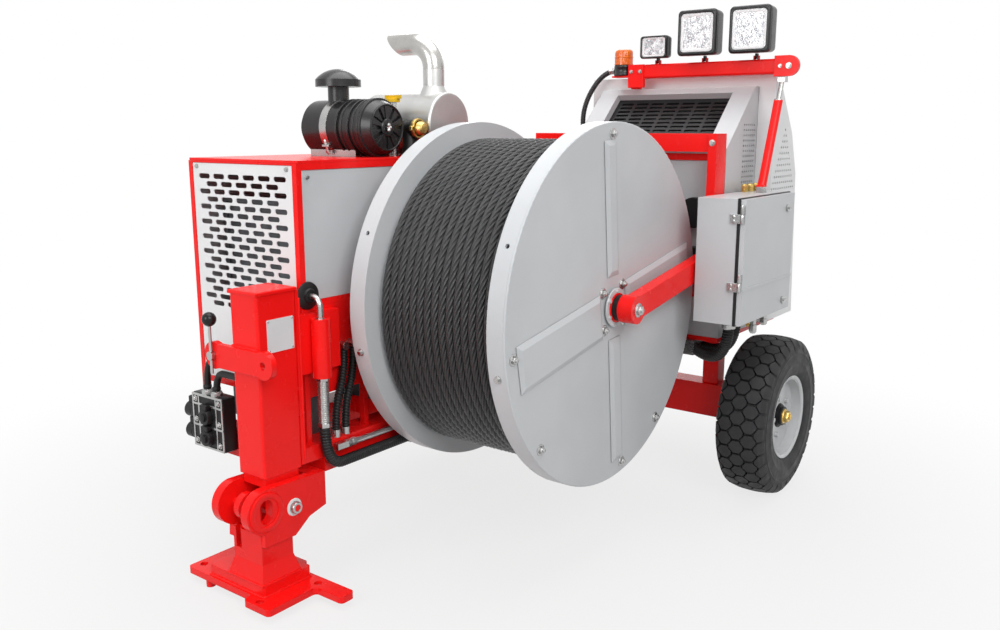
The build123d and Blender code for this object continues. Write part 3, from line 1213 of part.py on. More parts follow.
intake_route = FilletPolyline(
    (FILTER_X - FILTER_R, INTAKE_Y, FILTER_Z),
    (INTAKE_X, INTAKE_Y, FILTER_Z),
    (INTAKE_X, INTAKE_Y, HOUSE_TOP),
    radius=INTAKE_BEND,
)
with BuildPart() as intake_hose:
    ribbed(intake_route, (0, 1, 0), INTAKE_R - INTAKE_RIB, INTAKE_R, INTAKE_BORE, INTAKE_PITCH)
save(intake_hose, "intake_hose")

with BuildPart() as filler_cap:
    filler_at = (FILLER_X, FILLER_Y)
    cap_low = FILLER_NECK_TOP + BODY_GAP
    cap_top = cap_low + FILLER_CAP_HIGH
    rod("z", filler_at, FILLER_CAP_R, (cap_low, cap_top))
    bar_x = (FILLER_X - FILLER_BAR_WIDE / 2, FILLER_X + FILLER_BAR_WIDE / 2)
    bar_y = (FILLER_Y - FILLER_BAR_LONG / 2, FILLER_Y + FILLER_BAR_LONG / 2)
    block(bar_x, bar_y, (cap_top, cap_top + FILLER_BAR_HIGH))
save(filler_cap, "filler_cap")

# Rear frame, guard panel and its buffers behind the drum
POST_X = (FRAME_FRONT - POST_DEEP, FRAME_FRONT)
INNER_POST_X = (POST_X[0] - INNER_SETBACK, POST_X[1] - INNER_SETBACK)
UPPER_BEAM_X = (FRAME_FRONT - BEAM_SETBACK - BEAM, FRAME_FRONT - BEAM_SETBACK)
LOWER_BEAM_X = (INNER_POST_X[0], INNER_POST_X[0] + LOWER_BEAM_DEEP)
FRAME_BAY_Y = (INNER_POST_Y[1] + WELD_GAP, POST_Y[0] - WELD_GAP)
BEAM_LOW = FRAME_TOP - BEAM
STRIP_Z = (BEAM_LOW - STRIP_DROP - STRIP_HIGH, BEAM_LOW - STRIP_DROP)
GUARD_X = (FRAME_FRONT - GUARD_SETBACK - GUARD_T, FRAME_FRONT - GUARD_SETBACK)

with BuildPart() as rear_frame:
    hollow_bar(POST_X, POST_Y, (FRAME_LOW, FRAME_TOP), BAR_WALL)
    hollow_bar(UPPER_BEAM_X, (INNER_POST_Y[0], FRAME_BAY_Y[1]), (BEAM_LOW, FRAME_TOP), BAR_WALL)
    hollow_bar(INNER_POST_X, INNER_POST_Y, (RAIL_TOP, BEAM_LOW - WELD_GAP), BAR_WALL)
    hollow_bar(LOWER_BEAM_X, FRAME_BAY_Y, (FRAME_LOW, FRAME_LOW + BEAM), BAR_WALL)
    block((GUARD_X[1], GUARD_X[1] + STRIP_T), FRAME_BAY_Y, STRIP_Z)
save(rear_frame, "rear_frame")

with BuildPart() as guard_panel:
    block(GUARD_X, FRAME_BAY_Y, (FRAME_LOW + BEAM + WELD_GAP, STRIP_Z[1]))
save(guard_panel, "guard_panel")

with BuildPart() as guard_buffers:
    for z in BUFFER_ZS:
        rod("x", (BUFFER_Y, z), BUFFER_R, (GUARD_X[1], GUARD_X[1] + BUFFER_LONG))
    fillet(guard_buffers.faces().group_by(Axis.X)[-1].edges(), SHEET)
save(guard_buffers, "guard_buffers")

# Rear hood with a sunk window, its grille and the white cover
HOOD_OUTLINE = (
    (HOOD_FRONT, DECK_TOP),
    (HOOD_FRONT, HOOD_KNEE_Z),
    (HOOD_BROW_X, HOOD_TOP),
    (HOOD_REAR, HOOD_TOP),
    (HOOD_REAR, DECK_TOP),
)
SLANT_RUN = HOOD_FRONT - HOOD_BROW_X
SLANT_RISE = HOOD_TOP - HOOD_KNEE_Z
SLANT_LONG = hypot(SLANT_RUN, SLANT_RISE)
WINDOW_MID_Y = (WINDOW_Y[0] + WINDOW_Y[1]) / 2
WINDOW_WIDE = WINDOW_Y[1] - WINDOW_Y[0]
WINDOW_LONG = SLANT_LONG - 2 * WINDOW_MARGIN
SLANT = Plane(
    origin=((HOOD_FRONT + HOOD_BROW_X) / 2, WINDOW_MID_Y, (HOOD_KNEE_Z + HOOD_TOP) / 2),
    x_dir=(0, 1, 0),
    z_dir=(SLANT_RISE, 0, SLANT_RUN),
)
SIDE_WALL_Y = HOOD_Y[1]

with BuildPart() as rear_hood:
    sheet_y(HOOD_OUTLINE, HOOD_Y)
    with BuildSketch(Plane.XZ.offset(-(HOOD_Y[1] - SHEET))):
        Polygon(*HOOD_OUTLINE, align=None)
        offset(amount=-SHEET)
    extrude(amount=HOOD_Y[1] - HOOD_Y[0] - 2 * SHEET, mode=Mode.SUBTRACT)
    with BuildSketch(SLANT):
        Rectangle(WINDOW_WIDE + 2 * SHEET, WINDOW_LONG + 2 * SHEET)
    extrude(amount=-WINDOW_DEEP)
    with BuildSketch(SLANT):
        Rectangle(WINDOW_WIDE, WINDOW_LONG)
    extrude(amount=-WINDOW_DEEP, mode=Mode.SUBTRACT)
    vent_plane = Plane(origin=(VENT_X, SIDE_WALL_Y, VENT_Z), x_dir=(1, 0, 0), z_dir=(0, 1, 0))
    with BuildSketch(vent_plane):
        with GridLocations(VENT_PITCH, VENT_PITCH, VENT_COLUMNS, VENT_ROWS):
            Circle(VENT_HOLE_R)
    extrude(amount=-SHEET, mode=Mode.SUBTRACT)
save(rear_hood, "rear_hood")

with BuildPart() as hood_grille:
    grille_plane = SLANT.offset(-WINDOW_DEEP)
    with BuildSketch(grille_plane):
        Rectangle(WINDOW_WIDE + 2 * SHEET, WINDOW_LONG + 2 * SHEET)
        with GridLocations(GRILLE_PITCH_Y, GRILLE_PITCH_S, GRILLE_COLUMNS, GRILLE_ROWS):
            SlotOverall(GRILLE_SLOT_LONG, GRILLE_SLOT_HIGH, mode=Mode.SUBTRACT)
    extrude(amount=-GRILLE_T)
save(hood_grille, "hood_grille")

COVER_OUTLINE = (
    (COVER_RIDGE_X, COVER_LOW),
    (COVER_RIDGE_X, COVER_RIDGE_Z),
    (COVER_RIDGE_X - COVER_FLAT, COVER_RIDGE_Z),
    COVER_SHOULDER,
    COVER_BACK,
    (COVER_REAR, COVER_LOW),
)

with BuildPart() as rear_cover:
    sheet_y(COVER_OUTLINE, COVER_Y)
    with BuildSketch(Plane.XZ.offset(-(COVER_Y[1] - SHEET))):
        Polygon(*COVER_OUTLINE, align=None)
        offset(amount=-SHEET)
    extrude(amount=COVER_Y[1] - COVER_Y[0] - 2 * SHEET, mode=Mode.SUBTRACT)
    hood_room_x = (HOOD_REAR - PANEL_GAP, COVER_RIDGE_X)
    hood_room_y = (HOOD_Y[0] - PANEL_GAP, HOOD_Y[1] + PANEL_GAP)
    block(hood_room_x, hood_room_y, (COVER_LOW, HOOD_TOP + PANEL_GAP), mode=Mode.SUBTRACT)
    for row in range(COVER_VENT_ROWS):
        row_z = COVER_VENT_TIP[1] - row * COVER_VENT_PITCH
        row_plane = Plane(origin=(COVER_VENT_TIP[0], COVER_Y[1], row_z), x_dir=(1, 0, 0), z_dir=(0, 1, 0))
        with BuildSketch(row_plane):
            with GridLocations(COVER_VENT_PITCH, COVER_VENT_PITCH, row + 1, 1):
                Circle(COVER_VENT_HOLE_R)
        extrude(amount=-SHEET, mode=Mode.SUBTRACT)
save(rear_cover, "rear_cover")

# Control cabinet with its hinges, control panel, door, latches and lever
HINGE_X = CABINET_X[1] + HINGE_OUT
DOOR_Y = (CABINET_Y[1] + DOOR_GAP, CABINET_Y[1] + DOOR_GAP + DOOR_T)
HINGE_Y = (DOOR_Y[0] + DOOR_Y[1]) / 2
HINGE_AT = (HINGE_X, HINGE_Y)
DOOR_X = (CABINET_X[0] + DOOR_MARGIN, CABINET_X[1] - DOOR_MARGIN)
DOOR_Z = (CABINET_Z[0] + DOOR_MARGIN, CABINET_Z[1] - DOOR_MARGIN)
CONTROL_Y = CABINET_Y[0] + CONTROL_STAND
PIVOT_Y = CONTROL_Y + SHEET + LEVER_HUB_R + PANEL_INSET
FORK_IN = LEVER_R + BODY_GAP

with BuildPart() as cabinet_box:
    block(CABINET_X, CABINET_Y, CABINET_Z)
    room_x = (CABINET_X[0] + SHEET, CABINET_X[1] - SHEET)
    room_z = (CABINET_Z[0] + SHEET, CABINET_Z[1] - SHEET)
    block(room_x, (CABINET_Y[0] + SHEET, CABINET_Y[1]), room_z, mode=Mode.SUBTRACT)
    for x in BRACKET_XS:
        block((x - BRACKET_WIDE / 2, x + BRACKET_WIDE / 2), (HOOD_Y[1], CABINET_Y[0]), BRACKET_Z)
    control_x = (room_x[0] + CONTROL_INSET, room_x[1] - CONTROL_INSET)
    control_z = (room_z[0] + CONTROL_INSET, room_z[1] - CONTROL_INSET)
    block(control_x, (CONTROL_Y, CONTROL_Y + SHEET), control_z)
    for z in (control_z[0], control_z[1] - CONTROL_INSET):
        block(control_x, (CABINET_Y[0], CONTROL_Y), (z, z + CONTROL_INSET))
    for side in (-1, 1):
        ear_x = sorted((LEVER_X + side * FORK_IN, LEVER_X + side * (FORK_IN + SHEET)))
        ear_z = (LEVER_Z - LEVER_HUB_R, LEVER_Z + LEVER_HUB_R)
        block(ear_x, (CONTROL_Y, PIVOT_Y + LEVER_PIN_R), ear_z)
    rod("x", (PIVOT_Y, LEVER_Z), LEVER_PIN_R, (LEVER_X - FORK_IN, LEVER_X + FORK_IN))
    for z in HINGE_ZS:
        block((CABINET_X[1], HINGE_X), (CABINET_Y[1] - HINGE_LEAF, HINGE_Y), (z, z + HINGE_HALF))
        rod("z", HINGE_AT, HINGE_R, (z, z + HINGE_HALF))
        rod("z", HINGE_AT, HINGE_PIN_R, (z + HINGE_HALF, z + 2 * HINGE_HALF))
save(cabinet_box, "cabinet_box")

with BuildPart() as cabinet_door:
    block(DOOR_X, DOOR_Y, DOOR_Z)
    pan = [(low + SHEET, high - SHEET) for low, high in (DOOR_X, DOOR_Z)]
    block(pan[0], (DOOR_Y[0], DOOR_Y[1] - SHEET), pan[1], mode=Mode.SUBTRACT)
    ridge_z = (DOOR_RIDGE_Z - DOOR_RIDGE, DOOR_RIDGE_Z + DOOR_RIDGE)
    block(DOOR_X, (DOOR_Y[1], DOOR_Y[1] + WASHER_T), ridge_z)
    for z in HINGE_ZS:
        leaf_z = (z + HINGE_HALF + BODY_GAP, z + 2 * HINGE_HALF)
        block((DOOR_X[1], HINGE_X), (HINGE_Y - SHEET, HINGE_Y + SHEET), leaf_z)
        rod("z", HINGE_AT, HINGE_R, leaf_z)
        rod("z", HINGE_AT, HINGE_PIN_R + RUN_FIT, leaf_z, mode=Mode.SUBTRACT)
    for spot in LATCH_SPOTS:
        rod("y", spot, LATCH_STEM_R + RUN_FIT, DOOR_Y, mode=Mode.SUBTRACT)
save(cabinet_door, "cabinet_door")

for spot, name in zip(LATCH_SPOTS, ("door_latch_upper", "door_latch_lower")):
    with BuildPart() as latch:
        knob_low = DOOR_Y[1] + BODY_GAP
        rod("y", spot, LATCH_R, (knob_low, knob_low + LATCH_HIGH))
        wing_x = (spot[0] - LATCH_WING / 2, spot[0] + LATCH_WING / 2)
        wing_z = (spot[1] - SHEET, spot[1] + SHEET)
        block(wing_x, (knob_low, knob_low + 2 * LATCH_HIGH), wing_z)
        rod("y", spot, LATCH_STEM_R, (DOOR_Y[1] - 2 * SHEET, knob_low))
    save(latch, name)

with BuildPart() as control_lever:
    hub_x = (LEVER_X - LEVER_R, LEVER_X + LEVER_R)
    rod("x", (PIVOT_Y, LEVER_Z), LEVER_HUB_R, hub_x)
    rod("y", (LEVER_X, LEVER_Z), LEVER_R, (PIVOT_Y, PIVOT_Y + LEVER_LONG))
    with Locations((LEVER_X, PIVOT_Y + LEVER_LONG, LEVER_Z)):
        Sphere(LEVER_BALL_R)
    rod("x", (PIVOT_Y, LEVER_Z), LEVER_PIN_R + RUN_FIT, hub_x, mode=Mode.SUBTRACT)
save(control_lever, "control_lever")

# Light bar with lamp forks, stay, lamps and beacon
BAR_X = (LIGHT_X - LIGHT_BAR_DEEP / 2, LIGHT_X + LIGHT_BAR_DEEP / 2)
PLATE_Z = (LIGHT_BAR_Z[0] - LIGHT_PLATE_OVER, LIGHT_BAR_Z[1] + LIGHT_PLATE_OVER)
PLATE_MID_Z = (PLATE_Z[0] + PLATE_Z[1]) / 2
PLATE_EYE_R = (PLATE_Z[1] - PLATE_Z[0]) / 2
PLATE_EYE_Y = LIGHT_PLATE[1] - PLATE_EYE_R
LAMP_PIVOT_Z = LIGHT_BAR_Z[1] + LAMP_TILT_RISE
LAMP_LOW = LIGHT_BAR_Z[1] + LAMP_LIFT
LUG_X = (LIGHT_X - LAMP_LUG_HALF, LIGHT_X + LAMP_LUG_HALF)
LAMP_FORK_IN = LAMP_LUG_T / 2 + BODY_GAP
LAMP_FORK_TOP = LAMP_PIVOT_Z + LAMP_PIN_R + HOLE_CLEAR

with BuildPart() as light_bar:
    block(BAR_X, LIGHT_BAR_Y, LIGHT_BAR_Z)
    fillet(light_bar.edges().filter_by(Axis.Y), ROOF_T)
    foot_x = (LIGHT_X - LIGHT_FOOT / 2, LIGHT_X + LIGHT_FOOT / 2)
    foot_y = (LIGHT_FOOT_Y - LIGHT_FOOT / 2, LIGHT_FOOT_Y + LIGHT_FOOT / 2)
    block(foot_x, foot_y, (HOOD_TOP, LIGHT_BAR_Z[0]))
    eye_top = (PLATE_EYE_Y, PLATE_Z[1])
    eye_low = (PLATE_EYE_Y, PLATE_Z[0])
    plate_x = (BAR_X[1] - ROOF_T, BAR_X[1] + LIGHT_PLATE_T)
    with BuildSketch(Plane(origin=(plate_x[0], 0, 0), x_dir=(0, 1, 0), z_dir=(1, 0, 0))):
        with BuildLine():
            Polyline(eye_low, (LIGHT_PLATE[0], PLATE_Z[0]), (LIGHT_PLATE[0], PLATE_Z[1]), eye_top)
            ThreePointArc(eye_top, (LIGHT_PLATE[1], PLATE_MID_Z), eye_low)
        make_face()
    extrude(amount=plate_x[1] - plate_x[0])
    plate_y = (LIGHT_BAR_Y[0], LIGHT_BAR_Y[0] + END_PLATE_WIDE)
    block(plate_x, plate_y, (LIGHT_BAR_Z[0] - END_PLATE_DROP, LIGHT_BAR_Z[1]))
    plate_y = (BEACON_Y - BEACON_R, LIGHT_BAR_Y[0])
    block(BAR_X, plate_y, (BEACON_BASE_Z[0] - BEACON_PLATE_T, BEACON_BASE_Z[0]))
    for y in LAMP_YS:
        for side in (-1, 1):
            fork_y = sorted((y + side * LAMP_FORK_IN, y + side * (LAMP_FORK_IN + LAMP_FORK_T)))
            block(LUG_X, fork_y, (LIGHT_BAR_Z[1], LAMP_FORK_TOP))
        rod("y", (LIGHT_X, LAMP_PIVOT_Z), LAMP_PIN_R, (y - LAMP_FORK_IN, y + LAMP_FORK_IN))
save(light_bar, "light_bar")

with BuildPart() as light_bar_stay:
    foot_spot = (STAY_FOOT_X, STAY_Y, CABINET_Z[1] + STAY_BLOCK / 2)
    head_spot = (LIGHT_X, STAY_Y, LIGHT_BAR_Z[0] - STAY_BLOCK / 2)
    for x, y, z in (foot_spot, head_spot):
        with Locations((x, y, z)):
            Box(STAY_BLOCK, STAY_BLOCK, STAY_BLOCK)
    sleeve_end = Vector(*foot_spot) + (Vector(*head_spot) - Vector(*foot_spot)) * STAY_SPLIT
    strut(foot_spot, head_spot, STAY_ROD_R)
    strut(foot_spot, tuple(sleeve_end), STAY_TUBE_R)
    cut_low = CABINET_Z[1] - 2 * STAY_TUBE_R
    keep_out = (STAY_FOOT_X - STAY_BLOCK, STAY_FOOT_X + STAY_BLOCK)
    block(keep_out, (STAY_Y - STAY_BLOCK, STAY_Y + STAY_BLOCK), (cut_low, CABINET_Z[1]), mode=Mode.SUBTRACT)
save(light_bar_stay, "light_bar_stay")

LAMPS = (("lamp_left", BIG_LAMP), ("lamp_middle", BIG_LAMP), ("lamp_small", SMALL_LAMP))
for (name, (deep, wide, high)), y in zip(LAMPS, LAMP_YS):
    with BuildPart() as lamp:
        lamp_x = (LIGHT_X - LAMP_BACK, LIGHT_X - LAMP_BACK + deep)
        lamp_y = (y - wide / 2, y + wide / 2)
        lamp_z = (LAMP_LOW, LAMP_LOW + high)
        block(lamp_x, lamp_y, lamp_z)
        fillet(lamp.edges().filter_by(Axis.X), LAMP_EDGE)
        bowl_y = (lamp_y[0] + LAMP_LENS_INSET, lamp_y[1] - LAMP_LENS_INSET)
        bowl_z = (lamp_z[0] + LAMP_LENS_INSET, lamp_z[1] - LAMP_LENS_INSET)
        block((lamp_x[1] - LAMP_LENS_DEEP, lamp_x[1]), bowl_y, bowl_z, mode=Mode.SUBTRACT)
        lens_x = (lamp_x[1] - 2 * SHEET, lamp_x[1] - SHEET)
        lens_y = (bowl_y[0] + BODY_GAP, bowl_y[1] - BODY_GAP)
        lens_z = (bowl_z[0] + BODY_GAP, bowl_z[1] - BODY_GAP)
        block(lens_x, lens_y, lens_z)
        lug_y = (y - LAMP_LUG_T / 2, y + LAMP_LUG_T / 2)
        block(LUG_X, lug_y, (LAMP_PIVOT_Z, LAMP_LOW))
        rod("y", (LIGHT_X, LAMP_PIVOT_Z), LAMP_LUG_HALF, lug_y)
        rod("y", (LIGHT_X, LAMP_PIVOT_Z), LAMP_PIN_R + RUN_FIT, lug_y, mode=Mode.SUBTRACT)
    save(lamp, name)

BEACON_AT = (LIGHT_X, BEACON_Y)
CABLE_START = (LIGHT_X, BEACON_Y - BEACON_R, (BEACON_BASE_Z[0] + BEACON_BASE_Z[1]) / 2)
CABLE_OUT_Y = HOOD_Y[0] - CABLE_BULGE
cable_route = FilletPolyline(
    CABLE_START,
    (LIGHT_X, CABLE_START[1] - CABLE_REACH, CABLE_START[2]),
    (LIGHT_X, CABLE_OUT_Y, HOOD_TOP - CABLE_REACH),
    (LIGHT_X, CABLE_OUT_Y, HOOD_TOP - CABLE_DROP),
    (LIGHT_X, HOOD_Y[0], HOOD_TOP - CABLE_DROP),
    radius=CABLE_BEND,
)

with BuildPart() as beacon_base:
    rod("z", BEACON_AT, BEACON_R, BEACON_BASE_Z)
    tube_along(cable_route, CABLE_R)
save(beacon_base, "beacon_base")

with BuildPart() as beacon_lens:
    rod("z", BEACON_AT, BEACON_R, (BEACON_BASE_Z[1], BEACON_TOP))
    fillet(beacon_lens.faces().sort_by(Axis.Z)[-1].edges(), BEACON_R / 3)
save(beacon_lens, "beacon_lens")

# Ribbed hoses beside the leg
RAIL_FACE_Y = LEFT_RAIL_Y + RAIL / 2
leg_route = FilletPolyline(
    (SLEEVE_X, HOSE_Y, GUARD_TUBE_LOW),
    (SLEEVE_X, HOSE_Y, HOSE_LOW_Z),
    (HOSE_END_X, HOSE_Y, HOSE_LOW_Z),
    radius=HOSE_BEND,
)
spiral_routes = []
for x in SPIRAL_XS:
    spiral_routes.append(FilletPolyline(
        (x, SPIRAL_Y, SPIRAL_TOP),
        (x, SPIRAL_Y, SPIRAL_TOP - SPIRAL_STRAIGHT),
        (x + SPIRAL_SHIFT, SPIRAL_Y, SPIRAL_LOW + SPIRAL_STRAIGHT),
        (x + SPIRAL_SHIFT, SPIRAL_Y, SPIRAL_LOW),
        radius=SPIRAL_BEND,
    ))

with BuildPart() as ribbed_hoses:
    ribbed(leg_route, (0, 1, 0), HOSE_R - HOSE_RIB, HOSE_R, HOSE_BORE, HOSE_PITCH)
    for route in spiral_routes:
        ribbed(route, (0, 1, 0), SPIRAL_R - SPIRAL_RIB, SPIRAL_R, SPIRAL_BORE, SPIRAL_PITCH)
save(ribbed_hoses, "ribbed_hoses")

# Plain hoses: to the valve block, below the cabinet and along the rail
PORT_FACE_Y = LEG_Y[0] - PORT_BLOCK[0] / 2
plain_routes = []
for y, z in zip(VALVE_HOSE_YS, VALVE_HOSE_ZS):
    valve_route = FilletPolyline(
        (VALVE_HOSE_X, y, VALVE_Z[1]),
        (VALVE_HOSE_X, y, z),
        (VALVE_HOSE_X, PORT_FACE_Y, z),
        radius=5 * VALVE_HOSE_R,
    )
    plain_routes.append((valve_route, VALVE_HOSE_R))
for x in CABINET_HOSE_XS:
    cabinet_route = FilletPolyline(
        (x, CABINET_HOSE_Y, CABINET_Z[0]),
        (x, CABINET_HOSE_Y, CABINET_HOSE_Z),
        (x, CABINET_HOSE_END, CABINET_HOSE_Z),
        radius=CABINET_HOSE_BEND,
    )
    plain_routes.append((cabinet_route, CABINET_HOSE_R))

with BuildPart() as hydraulic_hoses:
    for route, radius in plain_routes:
        tube_along(route, radius)
    rod("x", (BRAID_Y, BRAID_Z), BRAID_R, (HOSE_END_X, BRAID_X1))
save(hydraulic_hoses, "hydraulic_hoses")

# Steel fittings, ports, straps and frame bolts
elbow_top = SLEEVE_Z[1] + 2 * GUARD_TUBE_R + ELBOW_RISE
elbow_route = FilletPolyline(
    (SLEEVE_X, HOSE_Y, SLEEVE_Z[1]),
    (SLEEVE_X, HOSE_Y, elbow_top),
    (SLEEVE_X, HOUSE_LEFT, elbow_top),
    radius=2 * GUARD_TUBE_R,
)

with BuildPart() as steel_fittings:
    pipe("y", FILTER_AT, FILTER_R, FILTER_R + STRAP_T, STRAP_SPAN)
    rod("z", rain_at, RAIN_NECK_R + HOLE_CLEAR, (FILTER_Z, RAIN_LOW), mode=Mode.SUBTRACT)
    base_x = (FILTER_X - FILTER_BASE_HALF, FILTER_X + FILTER_BASE_HALF)
    block(base_x, FILTER_BASE_Y, (HOUSE_TOP, HOUSE_TOP + FILTER_BASE_HIGH))
    rod("y", FILTER_AT, FILTER_R, FILTER_Y, mode=Mode.SUBTRACT)
    rod("z", (FILLER_X, FILLER_Y), FILLER_NECK_R, (HOUSE_TOP, FILLER_NECK_TOP))
    rod("z", (SLEEVE_X, HOSE_Y), GUARD_TUBE_R, (GUARD_TUBE_LOW, SLEEVE_Z[1]))
    tube_along(elbow_route, BRAID_R)
    port_x = (HOSE_END_X - PORT_BLOCK[0], HOSE_END_X)
    block(port_x, (RAIL_FACE_Y, HOSE_Y + HOSE_R), (HOSE_LOW_Z - HOSE_R, BRAID_Z + BRAID_R))
    braid_end_y = (RAIL_FACE_Y, BRAID_Y + BRAID_R)
    block((BRAID_X1, BRAID_X1 + PORT_BLOCK[0]), braid_end_y, (BRAID_Z - BRAID_R, BRAID_Z + BRAID_R))
    for x in SPIRAL_XS:
        rod("y", (x, SPIRAL_TOP + SPIRAL_R), SPIRAL_R, (HOUSE_LEFT, SPIRAL_Y + SPIRAL_R))
        rod("z", (x + SPIRAL_SHIFT, SPIRAL_Y), SPIRAL_R, (RAIL_TOP, SPIRAL_LOW))
    for z in VALVE_HOSE_ZS:
        rod("y", (VALVE_HOSE_X, z), VALVE_HOSE_R + WASHER_T, (PORT_FACE_Y, LEG_Y[0]))
    manifold_x = (CABINET_HOSE_XS[0] - CABINET_HOSE_R, CABINET_HOSE_XS[1] + CABINET_HOSE_R)
    manifold_y = (CABINET_HOSE_END - PORT_BLOCK[0], CABINET_HOSE_END)
    block(manifold_x, manifold_y, (CABINET_HOSE_Z - CABINET_HOSE_R, DECK_BOTTOM))
    plate_face = BAR_X[1] + LIGHT_PLATE_T
    bolt((plate_face, PLATE_EYE_Y, PLATE_MID_Z), (1, 0, 0), BOLT_R)
    bolt((plate_face, LIGHT_PLATE[0] + 2 * BOLT_R, PLATE_MID_Z), (1, 0, 0), SMALL_BOLT_R)
    for y in (LIGHT_BAR_Y[0] + 2 * SMALL_BOLT_R, LIGHT_BAR_Y[0] + END_PLATE_WIDE - 2 * SMALL_BOLT_R):
        bolt((plate_face, y, PLATE_MID_Z), (1, 0, 0), SMALL_BOLT_R)
    screw_zs = (SIDE_PANEL_LOW + HOUSE_BAR, PANEL_Z[1] - HOUSE_BAR)
    for x in (PANEL_X[1] - HOUSE_BAR, PANEL_X[0] + HOUSE_BAR):
        for z in screw_zs:
            bolt((x, left_face, z), (0, 1, 0), SMALL_BOLT_R)
    for y in (PANEL_Y[0] + 2 * BOLT_R, PANEL_Y[1] - 2 * BOLT_R):
        for z in (FRONT_PANEL_Z[0] + HOUSE_BAR, FRONT_PANEL_Z[1] - BOLT_R):
            bolt((PANEL_FACE_X, y, z), (1, 0, 0), SMALL_BOLT_R)
    bolt((FRAME_FRONT, (POST_Y[0] + POST_Y[1]) / 2, FRAME_TOP - BEAM / 2), (1, 0, 0), BOLT_R)
save(steel_fittings, "steel_fittings")

# Valve block with solenoid coils at the front of the right rail
with BuildPart() as valve_block:
    block((RIGHT_RAIL_FRONT, VALVE_X[1]), VALVE_Y, VALVE_Z)
    for z in COIL_ZS:
        rod("y", ((VALVE_X[0] + VALVE_X[1]) / 2, z), COIL_R, (VALVE_Y[0] - COIL_LONG, VALVE_Y[0]))
        rod("x", ((VALVE_Y[0] + VALVE_Y[1]) / 2, z), COIL_R, (VALVE_X[1], VALVE_X[1] + COIL_LONG / 2))
save(valve_block, "valve_block")
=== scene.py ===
import json
import math

import bmesh
import bpy
import numpy as np
from mathutils import Matrix, Vector


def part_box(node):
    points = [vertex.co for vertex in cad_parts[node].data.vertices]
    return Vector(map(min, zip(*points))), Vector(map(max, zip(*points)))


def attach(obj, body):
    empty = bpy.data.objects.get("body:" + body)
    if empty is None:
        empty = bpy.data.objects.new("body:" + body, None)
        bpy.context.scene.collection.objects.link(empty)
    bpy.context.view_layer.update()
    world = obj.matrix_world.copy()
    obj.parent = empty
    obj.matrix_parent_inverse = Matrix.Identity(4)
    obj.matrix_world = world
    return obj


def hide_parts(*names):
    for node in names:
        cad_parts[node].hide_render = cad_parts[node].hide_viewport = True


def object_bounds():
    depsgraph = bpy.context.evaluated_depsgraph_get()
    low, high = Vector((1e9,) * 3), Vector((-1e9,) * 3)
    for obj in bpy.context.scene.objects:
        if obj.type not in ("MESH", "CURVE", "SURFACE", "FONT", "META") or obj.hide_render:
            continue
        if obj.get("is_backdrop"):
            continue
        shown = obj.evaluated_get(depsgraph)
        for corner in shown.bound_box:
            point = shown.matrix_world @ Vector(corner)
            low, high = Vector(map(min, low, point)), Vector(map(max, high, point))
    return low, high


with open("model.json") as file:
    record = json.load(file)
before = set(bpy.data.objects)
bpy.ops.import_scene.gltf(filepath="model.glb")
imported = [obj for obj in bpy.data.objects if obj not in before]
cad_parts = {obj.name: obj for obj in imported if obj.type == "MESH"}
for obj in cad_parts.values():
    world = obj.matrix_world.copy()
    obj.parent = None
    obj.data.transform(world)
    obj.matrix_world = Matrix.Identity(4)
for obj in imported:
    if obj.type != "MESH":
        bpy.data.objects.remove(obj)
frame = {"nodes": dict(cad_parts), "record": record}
cad_low, cad_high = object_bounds()
nodes = frame["nodes"]
scene = bpy.context.scene

# Directions in the model's frame, the sides of round pieces and the two wheels
FORWARD, LEFT, UP = (1.0, 0.0, 0.0), (0.0, 1.0, 0.0), (0.0, 0.0, 1.0)
BACKWARD, RIGHT, DOWN = (-1.0, 0.0, 0.0), (0.0, -1.0, 0.0), (0.0, 0.0, -1.0)
HEX = 6
WHEELS = ((1, "left"), (-1, "right"))

# Camera at the photograph's viewpoint
CAMERA_AT = Vector((3.3458, 2.4537, 1.7691))
CAMERA_TURN = math.radians(37.03)
CAMERA_DOWN = math.radians(11.383)
CAMERA_LENS = 33.48

camera_data = bpy.data.cameras.new("camera")
camera_data.sensor_width = 36.0
camera_data.lens = CAMERA_LENS
camera = bpy.data.objects.new("camera", camera_data)
scene.collection.objects.link(camera)
look = Vector((
    -math.cos(CAMERA_TURN) * math.cos(CAMERA_DOWN),
    -math.sin(CAMERA_TURN) * math.cos(CAMERA_DOWN),
    -math.sin(CAMERA_DOWN),
))
camera.location = CAMERA_AT
camera.rotation_mode = "QUATERNION"
camera.rotation_quaternion = look.to_track_quat("-Z", "Y")
scene.camera = camera
scene.view_settings.view_transform = "Standard"


# Node helpers for the procedural finishes
COAT_ROUGH = 0.12
PEEL = 0.03
DUST = (0.25, 0.22, 0.20)
DUST_MOST, DUST_TOP = 0.03, 0.45


